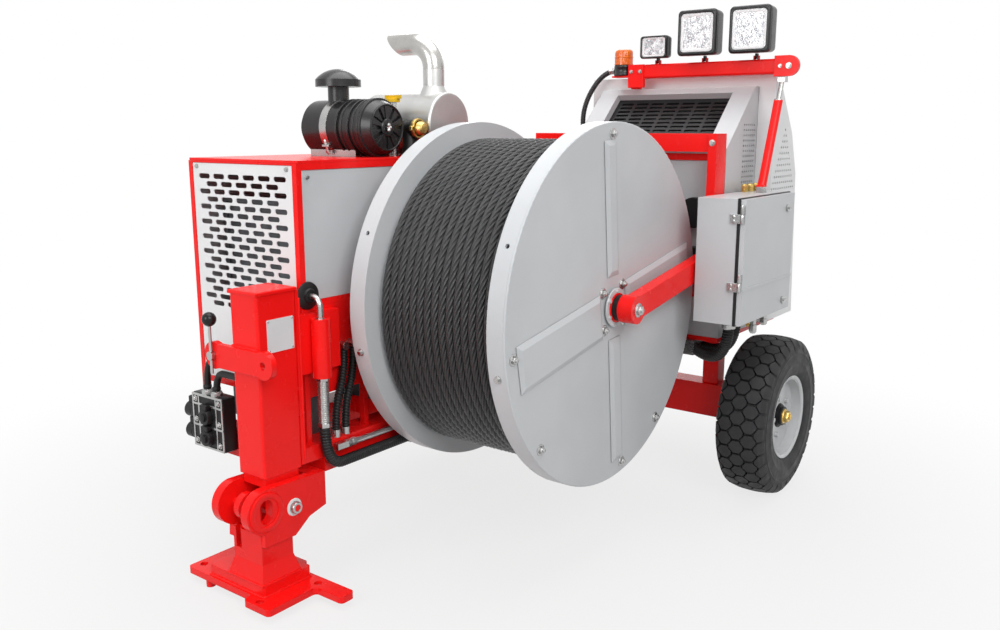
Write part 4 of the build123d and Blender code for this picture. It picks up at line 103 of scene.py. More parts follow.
class Graph:
    """The node tree of a material or of the world."""

    def __init__(self, tree):
        self.tree = tree

    def feed(self, socket, value):
        """Link a socket to another one, or give it a plain value."""
        if isinstance(value, bpy.types.NodeSocket):
            self.tree.links.new(value, socket)
        else:
            socket.default_value = value

    def node(self, kind, inputs=None, **settings):
        made = self.tree.nodes.new(kind)
        for key, value in settings.items():
            setattr(made, key, value)
        for key, value in (inputs or {}).items():
            self.feed(made.inputs[key], value)
        return made

    def spread(self, value, low, high, to_low=0.0, to_high=1.0, **settings):
        """A value carried over from one range to another."""
        inputs = {"Value": value, "From Min": low, "From Max": high, "To Min": to_low, "To Max": to_high}
        return self.node("ShaderNodeMapRange", inputs, **settings).outputs["Result"]

    def combine(self, operation, first, second):
        return self.node("ShaderNodeMath", {0: first, 1: second}, operation=operation).outputs[0]

    def background_rays(self):
        """One for the rays that meet the background: camera, glossy and transmission rays."""
        rays = self.node("ShaderNodeLightPath").outputs
        mirrored = self.combine("MAXIMUM", rays["Is Glossy Ray"], rays["Is Transmission Ray"])
        return self.combine("MAXIMUM", rays["Is Camera Ray"], mirrored)


class Finish(Graph):
    """A material: its shader, coordinates and rounded normal."""

    def __init__(self, name, rough, metal=0.0, coat=0.0, edge=0.0):
        self.material = bpy.data.materials.new(name)
        self.material.use_nodes = True
        super().__init__(self.material.node_tree)
        self.shader = self.tree.nodes["Principled BSDF"]
        self.where = self.node("ShaderNodeTexCoord").outputs["Object"]
        self.normal = None
        if edge:
            self.normal = self.node("ShaderNodeBevel", {"Radius": edge}, samples=4).outputs["Normal"]
        self.set({"Roughness": rough, "Metallic": metal, "Coat Weight": coat, "Coat Roughness": COAT_ROUGH})

    def set(self, inputs):
        """Feed the shader's inputs by name and hand the material over."""
        for key, value in inputs.items():
            self.feed(self.shader.inputs[key], value)
        return self.material

    def noise(self, scale, detail=4.0, rough=0.55, stretch=None):
        where = self.where
        if stretch:
            where = self.node("ShaderNodeMapping", {"Vector": where, "Scale": stretch}).outputs["Vector"]
        inputs = {"Vector": where, "Scale": scale, "Detail": detail, "Roughness": rough}
        return self.node("ShaderNodeTexNoise", inputs).outputs["Fac"]

    def cells(self, scale):
        return self.node("ShaderNodeTexVoronoi", {"Vector": self.where, "Scale": scale}).outputs["Distance"]

    def place(self, axis):
        """The coordinate along X, Y or Z."""
        return self.node("ShaderNodeSeparateXYZ", {"Vector": self.where}).outputs[axis]

    def blend(self, factor, *colours):
        """A mix of two colours, each a socket or its red, green and blue."""
        made = self.node("ShaderNodeMix", {0: factor}, data_type="RGBA")
        for socket, colour in zip(made.inputs[6:8], colours):
            self.feed(socket, (*colour, 1.0) if isinstance(colour, tuple) else colour)
        return made.outputs[2]

    def bump(self, height, strength, distance):
        inputs = {"Height": height, "Strength": strength, "Distance": distance}
        if self.normal:
            inputs["Normal"] = self.normal
        return self.node("ShaderNodeBump", inputs).outputs["Normal"]


def paint(name, colour, shade, rough=0.3, coat=0.3, edge=0.003, spec=0.35):
    """Sprayed paint: slow colour drift, orange peel, and a little road dust low down."""
    made = Finish(name, rough, 0.0, coat, edge)
    body = made.blend(made.spread(made.noise(2.3, 3.0), 0.35, 0.65), colour, shade)
    low = made.spread(made.place("Z"), 0.0, DUST_TOP, DUST_MOST, 0.0)
    specks = made.spread(made.noise(38.0, 6.0, 0.7), 0.48, 0.72)
    return made.set({
        "Base Color": made.blend(made.combine("MULTIPLY", low, specks), body, DUST),
        "Roughness": made.spread(made.noise(14.0, 5.0), 0.3, 0.7, rough * 0.94, rough * 1.08),
        "Specular IOR Level": spec,
        "Normal": made.bump(made.noise(420.0, 2.0), PEEL, 0.0004),
    })


def metal(name, colour, shade, rough=0.35, edge=0.0015, stretch=None, grain=160.0, depth=0.08):
    """Bare metal: brushed or plated grain in colour, roughness and bump."""
    made = Finish(name, rough, 1.0, 0.0, edge)
    lines = made.noise(grain, 5.0, 0.65, stretch)
    return made.set({
        "Base Color": made.blend(made.spread(made.noise(9.0), 0.3, 0.7), colour, shade),
        "Roughness": made.spread(lines, 0.3, 0.7, rough * 0.75, rough * 1.35),
        "Normal": made.bump(lines, depth, 0.0005),
    })


def dull(name, colour, shade, rough=0.6, grain=260.0, depth=0.15, edge=0.0015, spec=0.18):
    """Rubber or moulded plastic: fine grain, faint dust and scuffs."""
    made = Finish(name, rough, 0.0, 0.0, edge)
    return made.set({
        "Base Color": made.blend(made.spread(made.noise(7.0, 5.0, 0.7), 0.35, 0.7), colour, shade),
        "Roughness": made.spread(made.noise(24.0, 5.0), 0.3, 0.7, rough * 0.8, min(1.0, rough * 1.2)),
        "Specular IOR Level": spec,
        "Normal": made.bump(made.noise(grain, 3.0), depth, 0.0006),
    })


red = paint("red_enamel", (0.93, 0.010, 0.009), (0.89, 0.008, 0.007), 0.26, 0.08, 0.004, 0.17)
grey = paint("silver_grey_paint", (0.56, 0.575, 0.59), (0.52, 0.535, 0.55), 0.38, 0.08, 0.003)
panel = paint("panel_grey_paint", (0.54, 0.555, 0.57), (0.50, 0.515, 0.53), 0.34, 0.2, 0.002)
white = paint("white_paint", (0.82, 0.825, 0.83), (0.77, 0.78, 0.79), 0.35, 0.2, 0.0015)
black_paint = paint("black_enamel", (0.012, 0.012, 0.013), (0.018, 0.018, 0.019), 0.34, 0.0, 0.002, 0.2)
engine_paint = paint("engine_enamel", (0.030, 0.032, 0.035), (0.045, 0.047, 0.050), 0.5, 0.0, 0.003, 0.2)
silver_paint = paint("silver_rim_paint", (0.60, 0.61, 0.62), (0.53, 0.54, 0.55), 0.3, 0.3, 0.002)
zinc = metal("zinc_steel", (0.52, 0.52, 0.51), (0.40, 0.40, 0.40), 0.27)
stainless = metal(
    "brushed_stainless", (0.54, 0.53, 0.51), (0.44, 0.43, 0.41), 0.24, 0.001, (1.0, 8.0, 8.0), 60.0, 0.05,
)
hot_silver = metal("muffler_silver", (0.57, 0.57, 0.56), (0.50, 0.50, 0.49), 0.40, 0.002, None, 220.0, 0.05)
machined = metal("machined_aluminium", (0.72, 0.72, 0.73), (0.62, 0.62, 0.63), 0.45)
gold = metal("yellow_zinc", (0.72, 0.52, 0.18), (0.60, 0.42, 0.13), 0.3)
core = metal("cooler_core", (0.20, 0.21, 0.22), (0.12, 0.12, 0.13), 0.5, 0.0015, (1.0, 1.0, 60.0), 12.0, 0.6)
rubber = dull("hose_rubber", (0.009, 0.009, 0.010), (0.016, 0.016, 0.016), 0.42, spec=0.28)
plastic = dull("black_plastic", (0.011, 0.011, 0.012), (0.018, 0.018, 0.019), 0.27, 340.0, 0.06, spec=0.42)
tyre_black = dull("tyre_rubber", (0.026, 0.026, 0.028), (0.040, 0.040, 0.041), 0.58, 180.0, 0.2, 0.003, 0.25)
yellow = dull("yellow_plastic", (0.80, 0.50, 0.02), (0.70, 0.42, 0.02), 0.35)

FINISHES = {
    "red_paint": red, "drum_grey": grey, "panel_grey": panel, "white_paint": white, "rope_black": rubber,
    "bare_steel": zinc, "stainless": stainless, "muffler_silver": hot_silver, "hose_rubber": rubber,
    "tyre_rubber": tyre_black, "rim_silver": silver_paint, "black_plastic": plastic,
    "engine_iron": engine_paint, "core_aluminium": core, "valve_aluminium": machined,
    "black_steel": black_paint, "yellow_plastic": yellow, "plate_bare": machined,
}
for entry in frame["record"]["subparts"]:
    shown = nodes[entry["node"]]
    finish = FINISHES.get(entry["material_slot"])
    if finish:
        shown.data.materials.clear()
        shown.data.materials.append(finish)
    shown.data.shade_smooth()
    shown.data.set_sharp_from_angle(angle=math.radians(32.0))

# The record's slot for each finish, with those that only pieces of this script have
SLOTS = {finish.name: slot for slot, finish in FINISHES.items()}
SLOTS.update({
    "yellow_zinc": "bare_steel", "braided_steel": "bare_steel", "greased_wire_rope": "rope_black",
    "lamp_lens": "rim_silver", "lamp_reflector": "rim_silver", "amber_lens": "amber",
})

# Floor, backdrop and soft light
HALF_FLOOR = 40.0
FADE_FROM, FADE_TO = 1.2, 3.6
FLOOR_WHITE = 0.78
SKY_LIGHT = 0.36
floor_mesh = bpy.data.meshes.new("floor")
corners = [(x * HALF_FLOOR, y * HALF_FLOOR, 0.0) for x, y in ((-1, -1), (1, -1), (1, 1), (-1, 1))]
floor_mesh.from_pydata(corners, [], [(0, 1, 2, 3)])
floor = bpy.data.objects.new("floor", floor_mesh)
scene.collection.objects.link(floor)
pale = Finish("floor_pale", 0.9)
reach = pale.node("ShaderNodeVectorMath", {0: pale.where}, operation="LENGTH").outputs["Value"]
fade = pale.spread(reach, FADE_FROM, FADE_TO, FLOOR_WHITE, 1.0, interpolation_type="SMOOTHSTEP")
floor_mix = pale.node("ShaderNodeMixShader", {
    0: pale.combine("MULTIPLY", pale.background_rays(), fade),
    1: pale.shader.outputs["BSDF"],
    2: pale.node("ShaderNodeEmission").outputs["Emission"],
})
pale.feed(pale.tree.nodes["Material Output"].inputs["Surface"], floor_mix.outputs["Shader"])
floor_mesh.materials.append(pale.set({"Base Color": (0.46, 0.46, 0.46, 1.0), "Specular IOR Level": 0.1}))
floor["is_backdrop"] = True

world = bpy.data.worlds.new("studio")
scene.world = world
world.use_nodes = True
sky = Graph(world.node_tree)
backdrop = world.node_tree.nodes["Background"].inputs
backdrop["Color"].default_value = (1.0, 1.0, 1.0, 1.0)
sky.feed(backdrop["Strength"], sky.spread(sky.background_rays(), 0.0, 1.0, SKY_LIGHT, 1.0))


def softbox(name, at, toward, size, power):
    data = bpy.data.lights.new(name, "AREA")
    data.shape = "RECTANGLE"
    data.size, data.size_y = size
    data.energy = power
    made = bpy.data.objects.new(name, data)
    scene.collection.objects.link(made)
    made.location = at
    made.rotation_mode = "QUATERNION"
    made.rotation_quaternion = (Vector(toward) - Vector(at)).to_track_quat("-Z", "Y")


softbox("key", (3.5, 5.5, 5.0), (0.0, 0.0, 1.0), (4.0, 3.0), 255.0)
softbox("front", (6.5, -0.5, 3.2), (0.5, -0.3, 0.9), (3.0, 3.0), 148.0)
softbox("top", (0.0, 0.0, 6.5), (0.0, 0.0, 0.0), (6.0, 5.0), 285.0)
softbox("back", (-6.0, -4.0, 4.5), (-0.5, 0.0, 1.0), (4.0, 3.0), 130.0)


# Mesh helpers for the pieces that dress the frame
def unit(vector):
    vector = np.asarray(vector, float)
    return vector / np.linalg.norm(vector)


def across(axis):
    """Two directions square to an axis and to each other."""
    axis = unit(axis)
    other = np.array(UP) if abs(axis[2]) < 0.9 else np.array(FORWARD)
    first = unit(np.cross(other, axis))
    return first, np.cross(axis, first)


def upright(centre, reach, turn):
    """The place at a distance and a turn from a centre, in an upright plane along the machine."""
    return np.array((centre[0] + reach * math.cos(turn), centre[1], centre[2] + reach * math.sin(turn)))


def middle_of(name):
    """The middle of a node's box, rounded to 0.1 mm because round nodes are facetted."""
    low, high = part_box(name)
    return np.round((np.array(low) + np.array(high)) / 2.0, 4)


def mm(*pairs):
    """A profile of (radius, height) pairs that are given in millimetres."""
    return [(radius / 1000.0, height / 1000.0) for radius, height in pairs]


class Shape:
    """Rings, boxes and tubes gathered into one mesh."""

    def __init__(self):
        self.points = []
        self.faces = []
        self.count = 0

    def add(self, points, faces):
        points = np.asarray(points, float).reshape(-1, 3)
        self.points.append(points)
        self.faces.extend(tuple(int(i) + self.count for i in face) for face in faces)
        self.count += len(points)

    def skin(self, rings, caps=True, looped=False):
        """Quads over a stack of equal rings, with flat ends."""
        rings = np.asarray(rings, float)
        number, sides = rings.shape[:2]
        faces = []
        for i in range(number if looped else number - 1):
            a = i * sides
            b = ((i + 1) % number) * sides
            for j in range(sides):
                k = (j + 1) % sides
                faces.append((a + j, a + k, b + k, b + j))
        if caps and not looped:
            faces.append(tuple(range(sides)))
            faces.append(tuple(range((number - 1) * sides, number * sides)))
        self.add(rings, faces)

    def lathe(self, profile, at, axis=UP, sides=40, caps=True, turn=0.0, looped=False):
        """A profile of (radius, height) pairs turned about an axis."""
        first, second = across(axis)
        axis = unit(axis)
        angles = turn + 2.0 * np.pi * np.arange(sides) / sides
        circle = np.cos(angles)[:, None] * first + np.sin(angles)[:, None] * second
        rings = [np.asarray(at) + axis * height + circle * max(radius, 1e-5) for radius, height in profile]
        self.skin(rings, caps, looped)

    def collar(self, profile, at, axis, sides):
        """A closed ring that has the profile as its section."""
        self.lathe(profile, at, axis, sides, caps=False, looped=True)

    def tube(self, line, radius, sides=14, caps=True):
        """A round tube on a line; the radius is one number or one for each point."""
        line = np.asarray(line, float)
        radius = np.broadcast_to(radius, len(line))
        ways = np.gradient(line, axis=0)
        ways /= np.linalg.norm(ways, axis=1)[:, None]
        first = across(ways[0])[0]
        angles = 2.0 * np.pi * np.arange(sides) / sides
        rings = []
        for spot, way, r in zip(line, ways, radius):
            first = unit(first - way * np.dot(first, way))
            second = np.cross(way, first)
            rings.append(spot + r * (np.cos(angles)[:, None] * first + np.sin(angles)[:, None] * second))
        self.skin(rings, caps)

    def box(self, low, high, edge=0.002):
        """A block with its edges cut back."""
        low = np.minimum(low, high) + 0.0
        high = np.maximum(low, high) + 0.0
        rings = []
        middle, half = (low + high) / 2.0, (high - low) / 2.0
        for z, inset in ((-1, edge), (-1, 0.0), (1, 0.0), (1, edge)):
            x, y = half[0] - inset, half[1] - inset
            level = middle[2] + z * (half[2] - (0.0 if inset else edge))
            c = min(edge, x * 0.5, y * 0.5)
            corners = (
                (x, y - c), (x - c, y), (c - x, y), (-x, y - c), (-x, c - y), (c - x, -y), (x - c, -y),
                (x, c - y),
            )
            rings.append([(middle[0] + a, middle[1] + b, level) for a, b in corners])
        self.skin(rings)

    def block(self, middle, half, edge=0.002):
        """A block from its middle and its half sizes."""
        self.box(np.subtract(middle, half), np.add(middle, half), edge)

    def bolt(self, at, axis, radius):
        """A washer and a hexagon head with a bevelled top."""
        high = radius * 0.7
        washer = 0.16 * radius
        self.lathe(
            ((radius * 1.45, 0.0), (radius * 1.45, washer * 0.8), (radius * 1.38, washer)), at, axis, 28,
        )
        head = ((radius, washer), (radius, washer + high * 0.85), (radius * 0.86, washer + high))
        self.lathe(head, at, axis, HEX)

    def make(self, name, finish, body="chassis", replaces=(), sharp=38.0):
        """The piece itself: it rides on a body, takes a finish and may stand for CAD nodes."""
        mesh = bpy.data.meshes.new(name)
        points = np.concatenate(self.points)
        mesh.from_pydata(points.tolist(), [], self.faces)
        shaping = bmesh.new()
        shaping.from_mesh(mesh)
        bmesh.ops.recalc_face_normals(shaping, faces=shaping.faces)
        shaping.to_mesh(mesh)
        shaping.free()
        mesh.shade_smooth()
        mesh.set_sharp_from_angle(angle=math.radians(sharp))
        mesh.materials.append(finish)
        made = bpy.data.objects.new(name, mesh)
        scene.collection.objects.link(made)
        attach(made, body)
        if replaces:
            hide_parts(*replaces)
        return made


def smooth_line(points, resolution):
    """The line of a hose, read from a spline that has its corners as control points."""
    data = bpy.data.curves.new("route", "CURVE")
    data.dimensions = "3D"
    data.resolution_u = resolution
    spline = data.splines.new("NURBS")
    spline.points.add(len(points) - 1)
    for spot, place in zip(spline.points, points):
        spot.co = (*place, 1.0)
    spline.order_u = 3
    spline.use_endpoint_u = True
    holder = bpy.data.objects.new("route", data)
    mesh = bpy.data.meshes.new_from_object(holder)
    line = np.array([v.co[:] for v in mesh.vertices])
    bpy.data.objects.remove(holder)
    bpy.data.curves.remove(data)
    bpy.data.meshes.remove(mesh)
    return line


def run_length(line):
    steps = np.linalg.norm(np.diff(line, axis=0), axis=1)
    return np.concatenate(((0.0,), np.cumsum(steps)))


def ribs(line, low, high, pitch):
    """Radii of a ribbed hose: round ribs at a steady pitch."""
    wave = np.abs(np.sin(np.pi * run_length(line) / pitch))
    return low + (high - low) * wave ** 0.6


# Rope: one layer of turns on the drum, laid up from six strands
DRUM = middle_of("arm_bearing") * (1.0, 0.0, 1.0)
ROPE_R = 0.017
ROPE_RADIUS = 0.6423
ROPE_FIRST_Y = -0.0255
ROPE_STEP_Y = 0.01771
ROPE_HALF_TURNS = 31
ROPE_START = math.radians(200.0)
ROPE_LAY = 0.205
PER_TURN = 24
STRANDS = 6
WIRES = 54.0

control_radius = ROPE_RADIUS / math.cos(math.pi / PER_TURN)
rope_route = []
for k in range(ROPE_HALF_TURNS * PER_TURN // 2 + 1):
    spot = upright(DRUM, control_radius, ROPE_START + 2.0 * math.pi * k / PER_TURN)
    spot[1] = ROPE_FIRST_Y + 2.0 * ROPE_STEP_Y * k / PER_TURN
    rope_route.append(spot)
rope_line = smooth_line(rope_route, 11)
rope_along = run_length(rope_line)
rope_way = np.gradient(rope_line, axis=0)
rope_way /= np.linalg.norm(rope_way, axis=1)[:, None]
rope_out = rope_line - DRUM
rope_out[:, 1] = 0.0
rope_out -= rope_way * np.sum(rope_out * rope_way, axis=1)[:, None]
rope_out /= np.linalg.norm(rope_out, axis=1)[:, None]
rope_side = np.cross(rope_way, rope_out)
strand_turns = np.radians(np.array((-30.0, -22.0, -9.0, 9.0, 22.0)))
strand_reach = 2.0 * np.cos(strand_turns) + np.sqrt(np.maximum(1.0 - 4.0 * np.sin(strand_turns) ** 2, 0.0))
strand_reach = ROPE_R / 3.0 * np.maximum(strand_reach, 2.05)
ring_turns = np.concatenate([strand_turns + 2.0 * np.pi * k / STRANDS for k in range(STRANDS)])
ring_reach = np.tile(strand_reach, STRANDS)
lay_turns = 2.0 * np.pi * rope_along / ROPE_LAY
spin = lay_turns[:, None] + ring_turns[None, :]
rope_rings = rope_line[:, None, :] + ring_reach[None, :, None] * (
    np.cos(spin)[:, :, None] * rope_out[:, None, :] + np.sin(spin)[:, :, None] * rope_side[:, None, :]
)
rope_shape = Shape()
rope_shape.skin(rope_rings)

greased = Finish("greased_wire_rope", 0.36, 0.2)
wires = greased.node("ShaderNodeVectorMath", {
    0: greased.node("ShaderNodeUVMap", uv_map="lay").outputs["UV"],
    1: (2.0 * math.pi * WIRES, 2.0 * math.pi * WIRES, 0.0),
}, operation="DOT_PRODUCT").outputs["Value"]
wave = greased.node("ShaderNodeMath", {0: wires}, operation="SINE").outputs[0]
grease = greased.spread(greased.noise(26.0, 5.0, 0.7), 0.35, 0.7)
rope_finish = greased.set({
    "Base Color": greased.blend(grease, (0.016, 0.016, 0.017), (0.036, 0.036, 0.038)),
    "Roughness": greased.spread(greased.noise(60.0), 0.3, 0.7, 0.27, 0.42),
    "Specular IOR Level": 0.75,
    "Normal": greased.bump(greased.spread(wave, -1.0, 1.0), 0.5, 0.0012),
})

rope = rope_shape.make("rope_winding", rope_finish, "drum", replaces=("drum_rope",), sharp=180.0)
lay_uv = rope.data.uv_layers.new(name="lay")
corner_points = np.empty(len(rope.data.loops), dtype=np.int64)
rope.data.loops.foreach_get("vertex_index", corner_points)
sides = len(ring_turns)
ring_number = corner_points // sides
ring_place = corner_points % sides
lay_values = np.stack(
    (rope_along[np.minimum(ring_number, len(rope_along) - 1)] / ROPE_LAY, ring_place / sides), axis=1,
)
side_faces = (len(rope_along) - 1) * sides
quads = lay_values[: 4 * side_faces].reshape(-1, 4, 2)
over_seam = np.ptp(quads[:, :, 1], axis=1) > 0.5
quads[:, :, 1] += over_seam[:, None] * (quads[:, :, 1] == 0.0)
lay_uv.data.foreach_set("uv", lay_values.reshape(-1))


# Tyres: block tread, shoulder lugs and ringed side walls
AXLE_X, WHEEL_MID_Y = middle_of("left_tyre")[:2]
WHEEL_R = middle_of("left_rim")[2]
TREAD_DEEP = 0.0175
BLOCKS = 34
BLOCK_A = 0.0335
COLUMN = 0.0585
BLOCK_TIP = 0.007
BLOCK_FLARE = 0.0022
SHOULDER = 0.1185


def tread_radius(y):
    """Height of the tread over the width of the tyre."""
    y = abs(y)
    if y < 0.060:
        return WHEEL_R - 0.9 * y * y
    if y < 0.100:
        return WHEEL_R - 0.0032 - 0.22 * (y - 0.060)
    return WHEEL_R - 0.012 - 1.45 * (y - 0.100) - 18.0 * (y - 0.100) ** 2


def tread_block(shape, side, turn, stations):
    """One lug from its half widths at places across the tyre."""
    rings = []
    for y, half in stations:
        top = tread_radius(y)
        low = top - TREAD_DEEP
        ring = []
        for offset, radius in (
            (-half, top), (half, top), (half + BLOCK_FLARE, low), (-half - BLOCK_FLARE, low),
        ):
            ring.append(upright((AXLE_X, side * WHEEL_MID_Y + y, WHEEL_R), radius, turn + offset / WHEEL_R))
        rings.append(ring)
    shape.skin(rings)


for side, name in WHEELS:
    tyre = Shape()
    half_wall = [
        (0.188, 0.086), (0.199, 0.100), (0.206, 0.107), (0.2095, 0.1065), (0.214, 0.111), (0.228, 0.1165),
        (0.245, 0.1205), (0.262, 0.1222), (0.266, 0.1237), (0.270, 0.1237), (0.273, 0.1222), (0.296, 0.1215),
        (0.310, 0.1198), (0.313, 0.1212), (0.318, 0.1212), (0.321, 0.1190), (0.330, 0.1165),
    ]
    for step in range(9):
        y = 0.112 - 0.014 * step
        half_wall.append((tread_radius(y) - TREAD_DEEP + 0.0006, y))
    wall = half_wall + [(r, -y) for r, y in reversed(half_wall[:-1])]
    centre = (AXLE_X, side * WHEEL_MID_Y, WHEEL_R)
    tyre.lathe(wall, centre, LEFT, 96, caps=False)
    pitch = 2.0 * math.pi / BLOCKS
    wide = math.pi * WHEEL_R / BLOCKS - 0.0056
    for k in range(BLOCKS):
        for column in (-1, 0, 1):
            y = COLUMN * column
            turn = pitch * (k + 0.5 * (column % 2))
            tread_block(tyre, side, turn, (
                (y - BLOCK_A, BLOCK_TIP), (y - BLOCK_A * 0.45, wide), (y, wide),
                (y + BLOCK_A * 0.45, wide), (y + BLOCK_A, BLOCK_TIP),
            ))
        for hand in (-1, 1):
            inner, outer = hand * (COLUMN * 2 - BLOCK_A), hand * SHOULDER
            deep = 0.0 if k % 2 else 0.0035
            tread_block(tyre, side, pitch * k, (
                (inner, BLOCK_TIP), (hand * 0.0995, wide), (hand * 0.106, wide), (hand * 0.112, wide * 0.94),
                (outer - hand * deep, wide * 0.84),
            ))
    tyre.make("%s_tyre_tread" % name, tyre_black, "%s_wheel" % name, replaces=("%s_tyre" % name,), sharp=30.0)
    lip = Shape()
    lip.collar(mm(
        (192, 86), (196, 98), (200.5, 103.5), (203.5, 104.5), (204, 107.5), (200.5, 108.5), (190, 103),
        (187, 92),
    ), centre, (0.0, side, 0.0), 72)
    lip.make("%s_rim_lip" % name, silver_paint, "%s_wheel" % name)


# Work lamps: moulded housings, silver bowls, white borders and patterned lenses
def rounded_ring(x, y, z, wide, high, corner, steps=6):
    """Points of an upright rounded rectangle that faces forward."""
    ring = []
    corner = min(corner, wide / 2 - 1e-4, high / 2 - 1e-4)
    for turn, sy, sz in ((0, 1, 1), (1, -1, 1), (2, -1, -1), (3, 1, -1)):
        for k in range(steps + 1):
            angle = math.pi / 2 * (turn + k / steps)
            ring.append((
                x,
                y + sy * (wide / 2 - corner) + corner * math.cos(angle),
                z + sz * (high / 2 - corner) + corner * math.sin(angle),
            ))
    return ring


def lamp_rings(place, extent, outline, corner):
    """Rounded rings from pairs of depth and inset, which are those of the large lamps."""
    face, y, z = place
    wide, tall = extent
    share = wide / LAMP_WIDE
    return [
        rounded_ring(face + x, y, z, wide - inset * share, tall - inset * share * tall / wide, corner * share)
        for x, inset in outline
    ]


lens = Finish("lamp_lens", 0.06)
lens_finish = lens.set({
    "Base Color": (0.93, 0.95, 0.96, 1.0), "Alpha": 0.08, "Normal": lens.bump(lens.cells(90.0), 0.25, 0.002),
})

# Reflector bowl: bright metal mottled with dark grey spots, which are painted reflections; the cells give its
# stippled bump
mirror = Finish("lamp_reflector", 0.24, 0.45)
painted_reflection_mottle = mirror.spread(mirror.noise(62.0, 5.0, 0.75), 0.44, 0.58)
bowl_finish = mirror.set({
    "Base Color": mirror.blend(painted_reflection_mottle, (0.86, 0.865, 0.88), (0.30, 0.31, 0.33)),
    "Normal": mirror.bump(mirror.cells(110.0), 0.35, 0.003),
})

LIGHT_X = -0.935
LAMP_LOW = 2.103
LAMP_PIVOT_Z = 2.092
LAMP_WIDE = 0.194
LAMP_CORNER = 0.019
LAMP_SCREW_IN = 0.026
for name, body in (("lamp_left", "left_lamp"), ("lamp_middle", "middle_lamp"), ("lamp_small", "small_lamp")):
    low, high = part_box(name)
    face, deep = high[0], high[0] - low[0]
    y = (low[1] + high[1]) / 2
    wide, tall = high[1] - low[1], high[2] - LAMP_LOW
    z = LAMP_LOW + tall / 2
    share = wide / LAMP_WIDE
    place, extent = (face, y, z), (wide, tall)
    shell = Shape()
    outline = (
        (-0.006, 0.032), (-0.001, 0.029), (0.0, 0.024), (0.0, 0.012), (-0.003, 0.004), (-0.008, 0.0),
        (-0.024, 0.0), (-0.0255, 0.005), (-0.029, 0.005), (-0.0305, 0.002), (-0.62 * deep, 0.006),
        (-0.72 * deep, 0.010), (-0.80 * deep, 0.022), (-0.90 * deep, 0.052), (-0.97 * deep, 0.090),
        (-deep, 0.130),
    )
    shell.skin(lamp_rings(place, extent, outline, LAMP_CORNER))
    for fin in range(-3, 4):
        at = y + fin * wide * 0.10
        fin_low = (face - 0.99 * deep, at - 0.0022, z - tall * 0.32)
        shell.box(fin_low, (face - 0.7 * deep, at + 0.0022, z + tall * 0.32), 0.001)
    shell.box(
        (LIGHT_X - 0.010, y - 0.006, LAMP_PIVOT_Z - 0.001), (LIGHT_X + 0.010, y + 0.006, LAMP_LOW + 0.004),
        0.0015,
    )
    shell.collar(mm(
        (4.5, 0), (9.2, 0), (10, 1), (10, 11), (9.2, 12), (4.5, 12),
    ), (LIGHT_X, y - 0.006, LAMP_PIVOT_Z), LEFT, 24)
    shell.make(name + "_housing", plastic, body, replaces=(name,), sharp=42.0)
    bowl = Shape()
    outline = ((-0.0055, 0.058), (-0.014, 0.070), (-0.020, 0.085), (-0.026, 0.120), (-0.028, 0.150))
    bowl.skin(lamp_rings(place, extent, outline, LAMP_CORNER * 0.8))
    bowl.lathe(mm((17, 0), (15, 4), (8, 11), (3, 14)), (face - 0.028, y, z), FORWARD, 24)
    bowl.make(name + "_bowl", bowl_finish, body, sharp=60.0)
    border = Shape()
    outline = ((-0.0048, 0.031), (-0.0040, 0.034), (-0.0040, 0.056), (-0.0062, 0.060))
    border.skin(lamp_rings(place, extent, outline, LAMP_CORNER * 0.8), caps=False)
    border.make(name + "_border", white, body, sharp=60.0)
    glass = Shape()
    outline = ((-0.0035, 0.034), (-0.0022, 0.060), (-0.0015, 0.110), (-0.0012, 0.170))
    glass.skin(lamp_rings(place, extent, outline, LAMP_CORNER * 0.7))
    for sy in (-1, 1):
        for sz in (-1, 1):
            in_by = LAMP_SCREW_IN * share
            at = (face - 0.0035, y + sy * (wide / 2 - in_by), z + sz * (tall / 2 - in_by))
            glass.lathe(mm((4, 0), (4, 1.5), (2.5, 2.2)), at, FORWARD, 12)
    glass.make(name + "_lens", lens_finish, body, sharp=60.0)

# Beacon: ribbed amber dome on a black base
glowing = Finish("amber_lens", 0.12, 0.0, 0.3)
glow = glowing.spread(glowing.noise(34.0, 4.0, 0.6), 0.3, 0.7)
amber = glowing.set({
    "Base Color": glowing.blend(glow, (0.93, 0.21, 0.004), (0.66, 0.085, 0.002)),
    "Transmission Weight": 0.12,
    "IOR": 1.49,
    "Normal": glowing.bump(glowing.cells(120.0), 0.35, 0.002),
})

low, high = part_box("beacon_lens")
BEACON_X, BEACON_Y = middle_of("beacon_lens")[:2]
reach = (high[0] - low[0]) / 2
tall = high[2] - low[2]
PRISMS = 30
dome = Shape()
angles = 2.0 * np.pi * np.arange(4 * PRISMS) / (4 * PRISMS)
flute = 1.0 - 0.022 * (0.5 + 0.5 * np.cos(PRISMS * angles))
rings = []
for share, height, keen in (
    (0.90, 0.0, 0.0), (1.0, 0.02, 0.2), (1.0, 0.10, 0.2), (0.955, 0.12, 1.0), (0.955, 0.44, 1.0),
    (0.99, 0.46, 0.2), (0.99, 0.52, 0.2), (0.95, 0.54, 1.0), (0.94, 0.80, 1.0), (0.90, 0.90, 0.6),
    (0.78, 0.97, 0.2), (0.50, 0.995, 0.0), (0.15, 1.0, 0.0),
):
    r = reach * share * (1.0 + keen * (flute - 1.0))
    level = np.full_like(r, low[2] + tall * height)
    rings.append(np.stack((BEACON_X + r * np.cos(angles), BEACON_Y + r * np.sin(angles), level), axis=1))
dome.skin(rings)
dome.make("beacon_dome", amber, replaces=("beacon_lens",), sharp=50.0)

